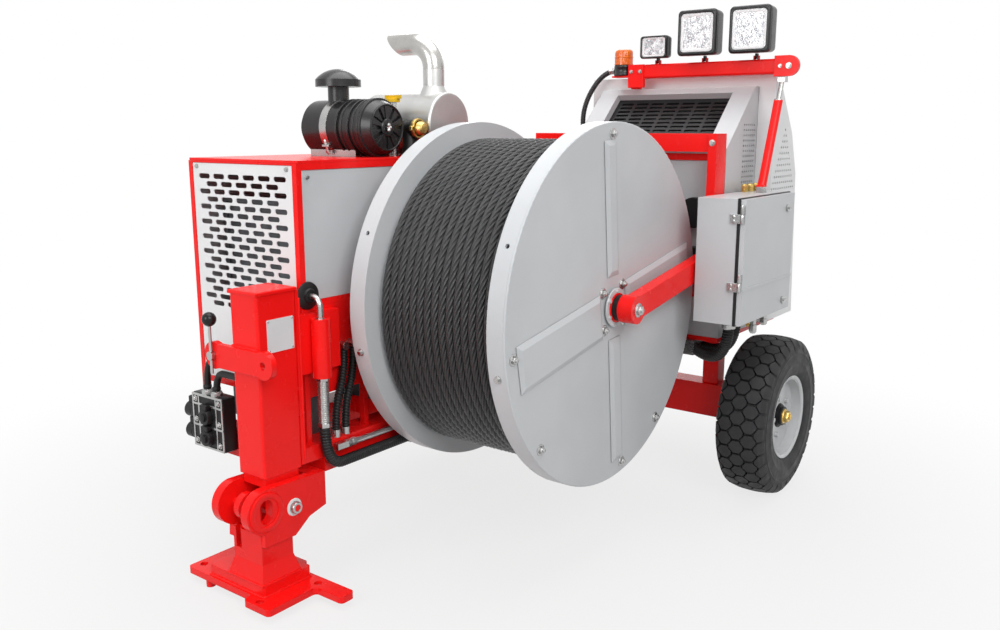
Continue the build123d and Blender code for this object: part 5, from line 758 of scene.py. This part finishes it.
# Hoses: ribbed covers, smooth pressure hoses and a braided one
LEG_HOSE_X, LEG_HOSE_Y, LEG_HOSE_TOP = 1.007, -0.160, 0.646
LEG_HOSE_LOW = 0.471
VALVE_PORTS = ((-0.660, 0.800), (-0.720, 0.850))
VALVE_PORT_X = 1.130
VALVE_ZS = (0.520, 0.610)
valve_low, valve_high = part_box("valve_block")
VALVE_TOP = valve_high[2]
hose_set = Shape()
leg_line = smooth_line((
    (LEG_HOSE_X, LEG_HOSE_Y, LEG_HOSE_TOP), (LEG_HOSE_X, LEG_HOSE_Y, LEG_HOSE_LOW),
    (0.832, LEG_HOSE_Y, LEG_HOSE_LOW), (0.545, LEG_HOSE_Y, LEG_HOSE_LOW),
), 220)
hose_set.tube(leg_line, ribs(leg_line, 0.0172, 0.022, 0.012), 18)
for x in (0.852, 0.800):
    spiral = smooth_line(
        ((x, -0.205, 0.906), (x, -0.205, 0.816), (x + 0.055, -0.205, 0.680), (x + 0.055, -0.205, 0.590)), 130,
    )
    hose_set.tube(spiral, ribs(spiral, 0.0130, 0.0165, 0.012), 16)
hose_set.make("ribbed_hose_covers", rubber, replaces=("ribbed_hoses",), sharp=60.0)

pressure = Shape()
for y, z in VALVE_PORTS:
    line = smooth_line((
        (VALVE_PORT_X, y, VALVE_TOP), (VALVE_PORT_X, y, z), (VALVE_PORT_X, y + 0.110, z),
        (VALVE_PORT_X, -0.370, z),
    ), 40)
    pressure.tube(line, 0.014, 16)
    for end, way in ((line[0], UP), (line[-1], RIGHT)):
        pressure.lathe(mm(
            (14.2, 0), (17.5, 1), (17.5, 18), (16, 20), (16, 24), (17.5, 26), (17.5, 36), (14.2, 38),
        ), end, way, 20, caps=False)
for x, drop in ((-0.735, 0.0), (-0.660, 0.055)):
    line = smooth_line((
        (x + 0.095, 0.800, 0.945), (x + 0.090, 0.812, 0.720 - drop), (x, 0.600, 0.735),
    ), 200)
    pressure.tube(line, ribs(line, 0.0205, 0.026, 0.013), 20)
pressure.make("pressure_hoses", rubber, replaces=("hydraulic_hoses",), sharp=60.0)

woven = Finish("braided_steel", 0.3, 1.0)
weave = woven.node("ShaderNodeTexChecker", {"Vector": woven.where, "Scale": 420.0}).outputs["Fac"]
braid = woven.set({
    "Base Color": woven.blend(weave, (0.74, 0.74, 0.73), (0.40, 0.40, 0.41)),
    "Normal": woven.bump(weave, 0.6, 0.0012),
})
braid_line = smooth_line(((0.545, -0.172, 0.532), (0.712, -0.172, 0.524), (0.880, -0.172, 0.532)), 60)
braided = Shape()
braided.tube(braid_line, 0.012, 16)
for end, way in ((braid_line[0], FORWARD), (braid_line[-1], BACKWARD)):
    braided.lathe(mm(
        (12.2, 0), (16.5, 0), (16.5, 16), (14, 18), (14, 22), (16.5, 24), (16.5, 42), (12.2, 46),
    ), end, way, HEX, caps=False)
braided.make("braided_hose", braid)

intake = Shape()
intake_line = smooth_line(
    ((0.385, -0.440, 1.770), (0.330, -0.440, 1.770), (0.330, -0.440, 1.712), (0.330, -0.440, 1.650)), 60,
)
intake.tube(intake_line, ribs(intake_line, 0.0300, 0.0340, 0.011), 24)
intake.make("intake_elbow", rubber, replaces=("intake_hose",), sharp=60.0)
clamps = Shape()
for at, way in (((0.384, -0.440, 1.770), BACKWARD), ((0.330, -0.440, 1.654), UP)):
    clamps.collar(mm((33.5, 0), (36.5, 0), (37, 2), (37, 10), (36.5, 12), (33.5, 12)), at, way, 32)
    spot = np.asarray(at) + np.asarray(way) * 0.006 + np.array((0.0, 0.040, 0.0))
    clamps.block(spot, (0.007, 0.007, 0.007))
clamps.make("intake_clamps", gold)

# Beacon base with its ribbed conduit
BEACON_LOW = 2.027
base = Shape()
base.lathe(mm(
    (40, 0), (47, 1), (48, 3), (48, 12), (46.2, 14), (46.2, 38), (48, 40), (48, 51), (45, 53),
), (BEACON_X, BEACON_Y, BEACON_LOW), UP, 48)
conduit_line = smooth_line([(BEACON_X, y, z) for y, z in (
    (-0.035, 2.0535), (-0.105, 2.0535), (-0.225, 1.890), (-0.225, 1.715), (-0.120, 1.715),
)], 130)
base.tube(conduit_line, ribs(conduit_line, 0.0112, 0.0136, 0.008), 18)
base.make("beacon_socket", plastic, replaces=("beacon_base",), sharp=60.0)
glands = Shape()
for end in (conduit_line[0], conduit_line[-1]):
    glands.lathe(mm(
        (14.2, -2), (18.5, 0), (18.5, 14), (16.5, 16), (16.5, 20), (18, 22), (18, 30), (13.8, 33),
    ), end, RIGHT, HEX, caps=False)
glands.make("conduit_glands", zinc)

# Grommet and ringed guard tube where the leg hose enters the house
grommet = Shape()
grommet.collar(mm(
    (12.5, 0), (52, 0), (54, 3), (52, 8), (42, 13), (30, 16), (26, 22), (18, 24), (12.5, 22),
), (LEG_HOSE_X, -0.230, 1.143), LEFT, 40)
grommet.make("hose_grommet", rubber)
guard = Shape()
profile = []
for k in range(22):
    z = 0.0085 * k
    profile += [(0.0202, z), (0.0202, z + 0.0035), (0.0222, z + 0.0048), (0.0222, z + 0.0072)]
guard.lathe([*profile, (0.0202, 0.188)], (LEG_HOSE_X, LEG_HOSE_Y, LEG_HOSE_TOP), UP, 32, caps=False)
for z in (0.636, 0.822):
    guard.collar(mm(
        (22, 0), (26.5, 0), (27, 2), (27, 15), (26.5, 17), (22, 17),
    ), (LEG_HOSE_X, LEG_HOSE_Y, z), UP, HEX)
guard.make("guard_tube_rings", zinc)

# Bare nameplate with four rivets
plate_finish = paint("plate_bare", (0.70, 0.71, 0.72), (0.66, 0.67, 0.68), 0.3, 0.1, 0.0008)
nodes["nameplate"].data.materials[0] = plate_finish
RIVET_IN = 0.007
plate_low, plate_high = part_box("nameplate")
rivets = Shape()
for x in (plate_low[0] + RIVET_IN, plate_high[0] - RIVET_IN):
    for z in (plate_low[2] + RIVET_IN, plate_high[2] - RIVET_IN):
        rivets.lathe(mm((4.4, 0), (4.3, 1.2), (3.4, 2.4), (1.8, 3.1)), (x, plate_high[1], z), LEFT, 14)
rivets.make("nameplate_rivets", zinc)

# Valve set: black body, coils with square plugs, silver frames and port nuts
VALVE_END, VALVE_FACE = -0.800, 1.150
VALVE_X, VALVE_Y = (valve_low[0] + VALVE_FACE) / 2, (valve_high[1] + VALVE_END) / 2
valves = Shape()
valves.box((valve_low[0], VALVE_END, valve_low[2]), (VALVE_FACE, *valve_high[1:]), 0.004)
for z in VALVE_ZS:
    valves.lathe(mm(
        (34, 0), (34, 10), (32.5, 11), (32.5, 22), (34, 23), (34, 60), (30, 64), (16, 65), (16, 70),
    ), (VALVE_X, VALVE_END, z), RIGHT, 32)
    valves.lathe(mm(
        (34, 0), (34, 18), (31, 24), (18, 25), (18, 33), (14, 35),
    ), (VALVE_FACE, VALVE_Y, z), FORWARD, 32)
    valves.block((VALVE_X, VALVE_END - 0.0335, z + 0.045), (0.0175, 0.0185, 0.015), 0.003)
    valves.block((VALVE_FACE + 0.013, VALVE_Y, z + 0.042), (0.011, 0.020, 0.012), 0.003)
valves.make("valve_set", black_paint, replaces=("valve_block",), sharp=40.0)
frames = Shape()
for z in (0.476, 0.565, 0.655, 0.694):
    frames.block((VALVE_FACE + 0.001, VALVE_Y, z), (0.003, 0.098, 0.005), 0.0012)
post_z, post_half = (VALVE_TOP + valve_low[2]) / 2, (VALVE_TOP - valve_low[2]) / 2 - 0.004
for offset in (-0.094, -0.056, 0.056, 0.094):
    frames.block((VALVE_FACE + 0.00075, VALVE_Y + offset, post_z), (0.00275, 0.004, post_half), 0.0012)
for y in (VALVE_Y - 0.075, VALVE_Y + 0.075):
    for z in (0.498, 0.588, 0.676):
        frames.bolt((VALVE_FACE + 0.003, y, z), FORWARD, 0.0085)
for y, _ in VALVE_PORTS:
    frames.lathe(mm(
        (24, -2), (24, 14), (21, 16), (21, 20), (17.5, 22),
    ), (VALVE_PORT_X, y, VALVE_TOP), UP, HEX)
for z in VALVE_ZS:
    frames.lathe(mm((16.5, 0), (16.5, 9), (14, 11)), (VALVE_X, VALVE_END - 0.066, z), RIGHT, HEX)
frames.make("valve_frames", zinc, sharp=40.0)


# Finishes that change along one piece
SLEEVE_LOW, SLEEVE_TOP = 1.508, 1.893
HUB_R, HUB_FACE_Y = 0.060, 0.917
BALL_LOW = 1.052
STEEL_TONE = (0.47, 0.47, 0.46)
BLACK_TONE = (0.010, 0.010, 0.011)
RED_TONE = (0.91, 0.009, 0.008)
SOFT = 0.001


def two_tone(name, first, second, mask_of, rough, shine):
    """Two plain finishes split by a mask made from the coordinates."""
    made = Finish(name, rough[0], edge=0.002)
    mask = mask_of(made)
    cloud = made.spread(made.noise(9.0), 0.3, 0.7, 0.92, 1.06)
    tint = {0: made.blend(mask, first, second), "Scale": cloud}
    return made.set({
        "Base Color": made.node("ShaderNodeVectorMath", tint, operation="SCALE").outputs[0],
        "Roughness": made.spread(mask, 0.0, 1.0, *rough),
        "Metallic": made.spread(mask, 0.0, 1.0, *shine),
        "Specular IOR Level": 0.25,
        "Normal": made.bump(made.noise(300.0, 3.0), 0.05, 0.0005),
    })


def ball_mask(made):
    """One on the ball knob of the lock lever."""
    return made.spread(made.place("Z"), BALL_LOW - SOFT, BALL_LOW + SOFT)


def stay_mask(made):
    """One on the rod above the sleeve and on the foot below it."""
    rod = made.spread(made.place("Z"), SLEEVE_TOP - SOFT, SLEEVE_TOP + SOFT)
    foot = made.spread(made.place("Z"), SLEEVE_LOW - SOFT, SLEEVE_LOW + SOFT, 1.0, 0.0)
    return made.combine("MAXIMUM", rod, foot)


def hub_mask(made):
    """One inside the hub circle of a wheel."""
    squares = []
    for axis, middle in (("X", AXLE_X), ("Z", WHEEL_R)):
        shift = made.combine("SUBTRACT", made.place(axis), middle)
        squares.append(made.combine("MULTIPLY", shift, shift))
    total = made.combine("ADD", *squares)
    return made.spread(total, (HUB_R - SOFT / 2) ** 2, (HUB_R + SOFT / 2) ** 2, 1.0, 0.0)


nodes["lock_lever"].data.materials[0] = two_tone(
    "lever_rod_and_ball", STEEL_TONE, BLACK_TONE, ball_mask, (0.28, 0.2), (1.0, 0.0),
)
nodes["light_bar_stay"].data.materials[0] = two_tone(
    "stay_sleeve_and_rod", RED_TONE, STEEL_TONE, stay_mask, (0.3, 0.25), (0.0, 1.0),
)
rim_finish = two_tone("rim_and_hub", (0.58, 0.59, 0.60), BLACK_TONE, hub_mask, (0.3, 0.34), (0.0, 0.0))
for side, name in WHEELS:
    nodes["%s_rim" % name].data.materials[0] = rim_finish
    hub, outward = (AXLE_X, side * HUB_FACE_Y, WHEEL_R), (0.0, side, 0.0)
    barrel = Shape()
    barrel.lathe(mm((54, -12), (54, 4), (47, 6), (47, 17), (44, 20)), hub, outward, 40)
    barrel.make("%s_hub_barrel" % name, black_paint, "%s_wheel" % name, sharp=40.0)
    cap = Shape()
    cap.lathe(mm((36, 19), (36, 23), (34, 25)), hub, outward, 36)
    cap.lathe(mm((29, 24), (29, 42), (26, 46), (14, 46)), hub, outward, HEX)
    cap.lathe(mm((14, 45), (14, 53), (11, 55)), hub, outward, 24)
    cap.make("%s_hub_nut" % name, gold, "%s_wheel" % name)

# Air filter: end cap relief, wing nut, bands, strap bolt and end clamp
FILTER = middle_of("air_filter_body")
FILTER_END = (FILTER[0], -0.278, FILTER[2])
FILTER_BLADES = 5
STRAP_R, STRAP_Y, STRAP_TURN = 0.122, -0.540, math.radians(-38.0)
STRAP_WAY = (0.35, 0.0, 1.0)
relief = Shape()
relief.collar(mm((90, -1), (97, -1), (97.5, 2), (95, 5.5), (91, 5.5), (88.5, 2)), FILTER_END, LEFT, 60)
relief.lathe(mm((36, -1), (36, 5), (32, 8), (20, 8), (18, 4)), FILTER_END, LEFT, 40)
for y, r in (
    (-0.462, 0.1175), (-0.432, 0.1175), (-0.395, 0.1168), (-0.365, 0.1168), (-0.334, 0.1205),
    (-0.322, 0.1205),
):
    relief.lathe(
        ((0.114, -0.006), (r, -0.005), (r + 0.001, -0.002), (r + 0.001, 0.002), (r, 0.005), (0.114, 0.006)),
        (FILTER[0], y, FILTER[2]), LEFT, 72, caps=False,
    )
for k in range(FILTER_BLADES):
    turn = 2.0 * math.pi * (k + 0.25) / FILTER_BLADES
    way = np.array((math.cos(turn), 0.0, math.sin(turn)))
    wide_way = np.array((-math.sin(turn), 0.0, math.cos(turn)))
    centre = np.array(FILTER_END)
    rings = []
    for reach_out, half in ((0.034, 0.008), (0.060, 0.011), (0.088, 0.016)):
        spot = centre + way * reach_out
        section = ((-1.0, -0.006), (1.0, -0.006), (0.8, 0.004), (-0.8, 0.004))
        rings.append([spot + wide_way * half * s + np.array((0.0, lift, 0.0)) for s, lift in section])
    relief.skin(rings)
relief.make("filter_relief", plastic, sharp=35.0)
trim = Shape()
trim.lathe(mm((12, 6), (12, 14), (8, 17), (5, 24), (3, 26)), FILTER_END, LEFT, 20)
for hand in (-1, 1):
    trim.lathe(mm(
        (7, 0), (9, 6), (8, 16), (4, 20),
    ), (FILTER[0], -0.266, FILTER[2]), (0.5, 0.35, hand * 0.9), 14)
strap_spot = upright((FILTER[0], STRAP_Y, FILTER[2]), STRAP_R, STRAP_TURN)
trim.lathe(mm((6, -38), (6, 26), (4.5, 28)), strap_spot, STRAP_WAY, 16)
trim.block(strap_spot, (0.009, 0.020, 0.006))
trim.lathe(mm((10, -30), (10, -20)), strap_spot, STRAP_WAY, HEX)
trim.collar(mm(
    (86.5, 0), (88.5, 0), (89, 2), (89, 12), (88.5, 14), (86.5, 14),
), (FILTER[0], -0.694, FILTER[2]), LEFT, 60)
trim.make("filter_trim", zinc, sharp=40.0)

# Rubber coupling with a yellow clamp between the filter and the silencer
COUPLING_AT = (0.343, -0.320, 1.767)
coupling = Shape()
coupling.lathe(mm(
    (30, 0), (36, 4), (36, 18), (33, 22), (33, 40), (36, 44), (36, 62), (31, 66),
), COUPLING_AT, LEFT, 36)
coupling.lathe(mm(
    (36, 0), (36, 30), (31, 38), (31, 120),
), (COUPLING_AT[0], COUPLING_AT[1] + 0.026, 1.650), UP, 32)
coupling.make("intake_coupling", rubber, sharp=50.0)
clamp = Shape()
clamp.collar(mm((34, 66), (41, 66), (42, 69), (42, 79), (41, 82), (34, 82)), COUPLING_AT, LEFT, 36)
clamp.block(np.add(COUPLING_AT, (0.042, 0.074, 0.0)), (0.008, 0.008, 0.010))
clamp.lathe(mm((30, 82), (28, 100), (20, 110), (10, 112)), COUPLING_AT, LEFT, 24)
clamp.make("coupling_clamp", gold, sharp=40.0)

# Foot: pale washer and cap on the pivot bolt, a ring on the near ear
PIVOT = (1.175, -0.160, 0.363)
washer = Shape()
washer.collar(mm((24, 0), (34, 0), (34.5, 1.5), (33.5, 4), (24, 4.5)), PIVOT, LEFT, 44)
washer.make("pivot_washer", white, "foot_plate")
pin = Shape()
pin.lathe(mm((23.5, 0), (23.5, 19), (21.5, 22), (13.5, 22), (12.5, 14), (1, 13.5)), PIVOT, LEFT, 36)
pin.make("pivot_bolt_cap", zinc, "foot_plate")
ear = Shape()
ear.collar(mm(
    (53.5, -1), (53.5, 4), (55.5, 5.5), (74.5, 5.5), (76.5, 4), (76.5, -1),
), (1.304, -0.160, 0.384), LEFT, 60)
ear.make("ear_ring", red, "foot_plate")


# Weld beads round the leg and the foot
def weld(shape, line, radius):
    """A rippled bead along a straight or cornered line."""
    for start_at, end_at in zip(line, line[1:]):
        start_at, end_at = np.asarray(start_at, float), np.asarray(end_at, float)
        count = max(4, int(np.linalg.norm(end_at - start_at) / 0.0022))
        share = np.linspace(0.0, 1.0, count)[:, None]
        run = start_at + (end_at - start_at) * share
        ripple = radius * (0.82 + 0.18 * np.abs(np.sin(np.pi * run_length(run) / 0.0065)))
        shape.tube(run, ripple, 8)


chassis_welds = Shape()
for z in (0.895, 0.985):
    weld(chassis_welds, ((1.281, -0.338, z), (1.281, -0.192, z)), 0.0055)
weld(chassis_welds, ((1.085, -0.190, 0.520), (1.085, -0.190, 1.150)), 0.005)
chassis_welds.make("leg_welds", red, sharp=80.0)
foot_welds = Shape()
weld(
    foot_welds,
    ((1.111, -0.155, 0.058), (1.338, -0.155, 0.058), (1.338, -0.479, 0.058), (1.111, -0.479, 0.058)), 0.0065,
)
weld(foot_welds, ((1.152, -0.160, 0.101), (1.337, -0.160, 0.101), (1.337, -0.365, 0.101)), 0.006)
foot_welds.make("foot_welds", red, "foot_plate", sharp=80.0)

# Cabinet: edge seal, bright hinges, fittings below and cable glands on top
box_low, box_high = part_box("cabinet_box")
CABINET_FRONT = box_high[0] - 0.015
CABINET_REAR = box_low[0]
CABINET_BOTTOM, CABINET_TOP = box_low[2], box_high[2]
SEAL_Y = (0.914, 0.9266)
SEAL_PROUD = 0.003
seal = Shape()
seal_low = (CABINET_REAR - SEAL_PROUD, CABINET_BOTTOM - SEAL_PROUD)
seal_high = (CABINET_FRONT + SEAL_PROUD, CABINET_TOP + SEAL_PROUD)
for x in (CABINET_REAR, CABINET_FRONT):
    seal.box((x - SEAL_PROUD, SEAL_Y[0], seal_low[1]), (x + SEAL_PROUD, SEAL_Y[1], seal_high[1]), 0.002)
for z in (CABINET_BOTTOM, CABINET_TOP):
    seal.box((seal_low[0], SEAL_Y[0], z - SEAL_PROUD), (seal_high[0], SEAL_Y[1], z + SEAL_PROUD), 0.002)
seal.make("cabinet_seal", rubber)

HINGE_AXIS = (CABINET_FRONT + 0.008, box_high[1] - 0.007)
HINGE_HALF = 0.038
fixed_leaves, door_leaves = Shape(), Shape()
for z in (1.091, 1.379):
    low, high = z + 0.0004, z + HINGE_HALF - 0.0004
    fixed_leaves.lathe(
        ((0.0072, low), (0.0080, low + 0.001), (0.0080, high - 0.001), (0.0072, high)), (*HINGE_AXIS, 0.0),
        UP, 24,
    )
    fixed_leaves.box(
        (CABINET_FRONT - 0.001, 0.8852, low), (CABINET_FRONT + 0.0088, HINGE_AXIS[1], high), 0.0015,
    )
    for side in (0.25, 0.75):
        fixed_leaves.bolt((CABINET_FRONT + 0.0088, 0.902, low + (high - low) * side), FORWARD, 0.005)
    low, high = z + HINGE_HALF + 0.0009, z + 2 * HINGE_HALF - 0.0002
    door_leaves.lathe(
        (
            (0.0072, low), (0.0080, low + 0.001), (0.0080, high - 0.001), (0.0072, high + 0.002),
            (0.004, high + 0.004),
        ),
        (*HINGE_AXIS, 0.0), UP, 24,
    )
    door_leaves.box(
        (CABINET_FRONT - 0.0025, HINGE_AXIS[1] - 0.0085, low),
        (CABINET_FRONT + 0.0025, HINGE_AXIS[1] + 0.0095, high), 0.0012,
    )
fixed_leaves.make("hinge_fixed_leaves", zinc, sharp=40.0)
door_leaves.make("hinge_door_leaves", zinc, "door", sharp=40.0)

hose_ends, gold_ends = Shape(), Shape()
for x in (-0.640, -0.565):
    at = (x, 0.800, CABINET_BOTTOM + 0.001)
    hose_ends.lathe(mm((37, 0), (37, 22), (34, 25)), at, DOWN, HEX)
    hose_ends.lathe(mm((31, 25), (31, 40), (29, 42), (29, 46), (31, 48), (31, 66), (27.5, 70)), at, DOWN, 32)
for x, y, size, long in (
    (-0.700, 0.860, 0.021, 0.105), (-0.745, 0.820, 0.018, 0.085), (-0.775, 0.880, 0.020, 0.075),
    (-0.825, 0.850, 0.017, 0.060), (-0.680, 0.790, 0.019, 0.120),
):
    at = (x, y, CABINET_BOTTOM + 0.001)
    ends = gold_ends if size < 0.0195 else hose_ends
    ends.lathe(((size, 0.0), (size, 0.012), (size * 0.9, 0.014)), at, DOWN, HEX)
    ends.lathe(
        (
            (size * 0.72, 0.014), (size * 0.72, long * 0.6), (size * 0.9, long * 0.62),
            (size * 0.9, long * 0.9), (size * 0.6, long),
        ),
        at, DOWN, HEX,
    )
for x in (-0.770, -0.835, -0.900):
    gold_ends.lathe(mm(
        (17, -1), (17, 10), (14.5, 12), (14.5, 16), (16.5, 18), (16.5, 28), (11, 34), (7, 36),
    ), (x, 0.757, CABINET_TOP), UP, HEX)
hose_ends.make("cabinet_hose_ends", zinc, sharp=40.0)
gold_ends.make("cabinet_fittings", gold, sharp=40.0)

# Drum bearing: black housing with a pale flange and a red ring behind the arm
BEARING_BOLTS, BEARING_BOLT_R, BEARING_PLATE = 6, 0.065, 0.009
BEARING_AT = (DRUM[0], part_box("arm_bearing")[0][1], DRUM[2])
nodes["arm_bearing"].data.materials[0] = black_paint
flange = Shape()
flange.collar(mm((52.5, 0.8), (76, 0.8), (78, 2), (78, 7), (76, 9), (52.5, 9)), BEARING_AT, LEFT, 60)
for k in range(BEARING_BOLTS):
    turn = 2.0 * math.pi * (k + 0.5) / BEARING_BOLTS
    spot = upright(BEARING_AT, BEARING_BOLT_R, turn) + np.array((0.0, BEARING_PLATE, 0.0))
    flange.bolt(spot, LEFT, 0.0075)
flange.make("bearing_flange", silver_paint, sharp=40.0)
ring = Shape()
ring.collar(mm((52.2, 10), (58.5, 10), (59.5, 11), (59.5, 14), (58.5, 15), (52.2, 15)), BEARING_AT, LEFT, 60)
ring.make("bearing_ring", red)

# Drum face: pressed bands with sloped edges, washers, caps and the arm bolt
DRUM_FACE_Y, ARM_FACE_Y = 0.620, 0.732
BAND_END, RIM_BOLT_R, HUB_BOLT_R = 0.6585, 0.680, 0.108
BAND_SLOPE = 0.020
BAND_PROUD = 0.0125
bands = Shape()
for turn, start_r, low_side, high_side in (
    (-10.5, 0.096, 0.102, 0.081), (169.5, 0.096, 0.081, 0.102), (85.0, 0.128, 0.043, 0.043),
    (-95.0, 0.128, 0.045, 0.045),
):
    along = np.array((math.cos(math.radians(turn)), 0.0, math.sin(math.radians(turn))))
    up = np.array((-along[2], 0.0, along[0]))
    rings = []
    for inset, lift in (
        (0.006, -0.001), (0.006, 0.002), (0.0, 0.0025), (0.0, 0.0035),
        (BAND_SLOPE - 0.001, BAND_PROUD - 0.0008), (BAND_SLOPE + 0.001, BAND_PROUD),
    ):
        foot = np.array((DRUM[0], DRUM_FACE_Y + lift, DRUM[2]))
        near, far = along * (start_r + inset), along * (BAND_END - inset)
        below, above_it = up * (low_side - inset), up * (high_side - inset)
        rings.append([foot + near - below, foot + far - below, foot + far + above_it, foot + near + above_it])
    bands.skin(rings)
bands.make("drum_bands", grey, "drum", sharp=20.0)

caps = Shape()
rim_bolts = [(angle, RIM_BOLT_R) for angle in (87.0, -7.0, -42.0, -98.0, -125.0)]
hub_bolts = [(angle, HUB_BOLT_R) for angle in (38.0, 128.0, 218.0, 308.0)]
for angle, reach_out in rim_bolts + hub_bolts:
    spot = upright((DRUM[0], DRUM_FACE_Y, DRUM[2]), reach_out, math.radians(angle))
    caps.lathe(mm((22.5, 0.3), (22.5, 2), (21.5, 2.8), (15, 3)), spot, LEFT, 40)
    caps.lathe(mm((14.5, 3), (14.5, 12), (13.5, 14), (9.5, 15)), spot, LEFT, HEX)
    caps.lathe(mm((8, 15), (8, 19), (6, 20.5)), spot, LEFT, 20)
caps.make("drum_cover_caps", zinc, "drum", sharp=40.0)
end_bolt = Shape()
at = (DRUM[0], ARM_FACE_Y, DRUM[2])
end_bolt.lathe(mm((28.5, 0), (28.5, 3), (27, 4), (18, 4.2)), at, LEFT, 44)
end_bolt.lathe(mm((20.5, 4), (20.5, 15), (19, 17), (10, 18)), at, LEFT, HEX)
end_bolt.lathe(mm((10.5, 17), (10.5, 22.5), (8.5, 24)), at, LEFT, 24)
end_bolt.make("arm_end_bolt", zinc, sharp=40.0)

# Black sheets behind the round holes of the cover and the hood: painted shade that makes the holes dark
cover_high, hood_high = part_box("rear_cover")[1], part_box("rear_hood")[1]
hole_shade_sheets = Shape()
VENT_TIP = (cover_high[0] - 0.154, cover_high[2] - 0.258)
rings = []
for y in (0.7842, 0.7856):
    rings.append([
        (VENT_TIP[0] - 0.016, y, VENT_TIP[1] + 0.016), (VENT_TIP[0] - 0.158, y, VENT_TIP[1] - 0.296),
        (cover_high[0] - 0.006, y, VENT_TIP[1] - 0.296), (VENT_TIP[0] + 0.016, y, VENT_TIP[1] + 0.016),
    ])
hole_shade_sheets.skin(rings)
VENT_X, VENT_Z = hood_high[0] - 0.250, 1.650
hole_shade_sheets.box((VENT_X - 0.074, 0.7010, VENT_Z - 0.146), (VENT_X + 0.074, 0.7025, VENT_Z + 0.146), 0.0004)
# These black sheets are painted shade for the shaded inside behind the holes
hole_shade_sheets.make("vent_painted_shade", black_paint)

# The CAD box and the visual model's box
size = {"cad": [list(cad_low), list(cad_high)], "visual": [list(v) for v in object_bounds()]}
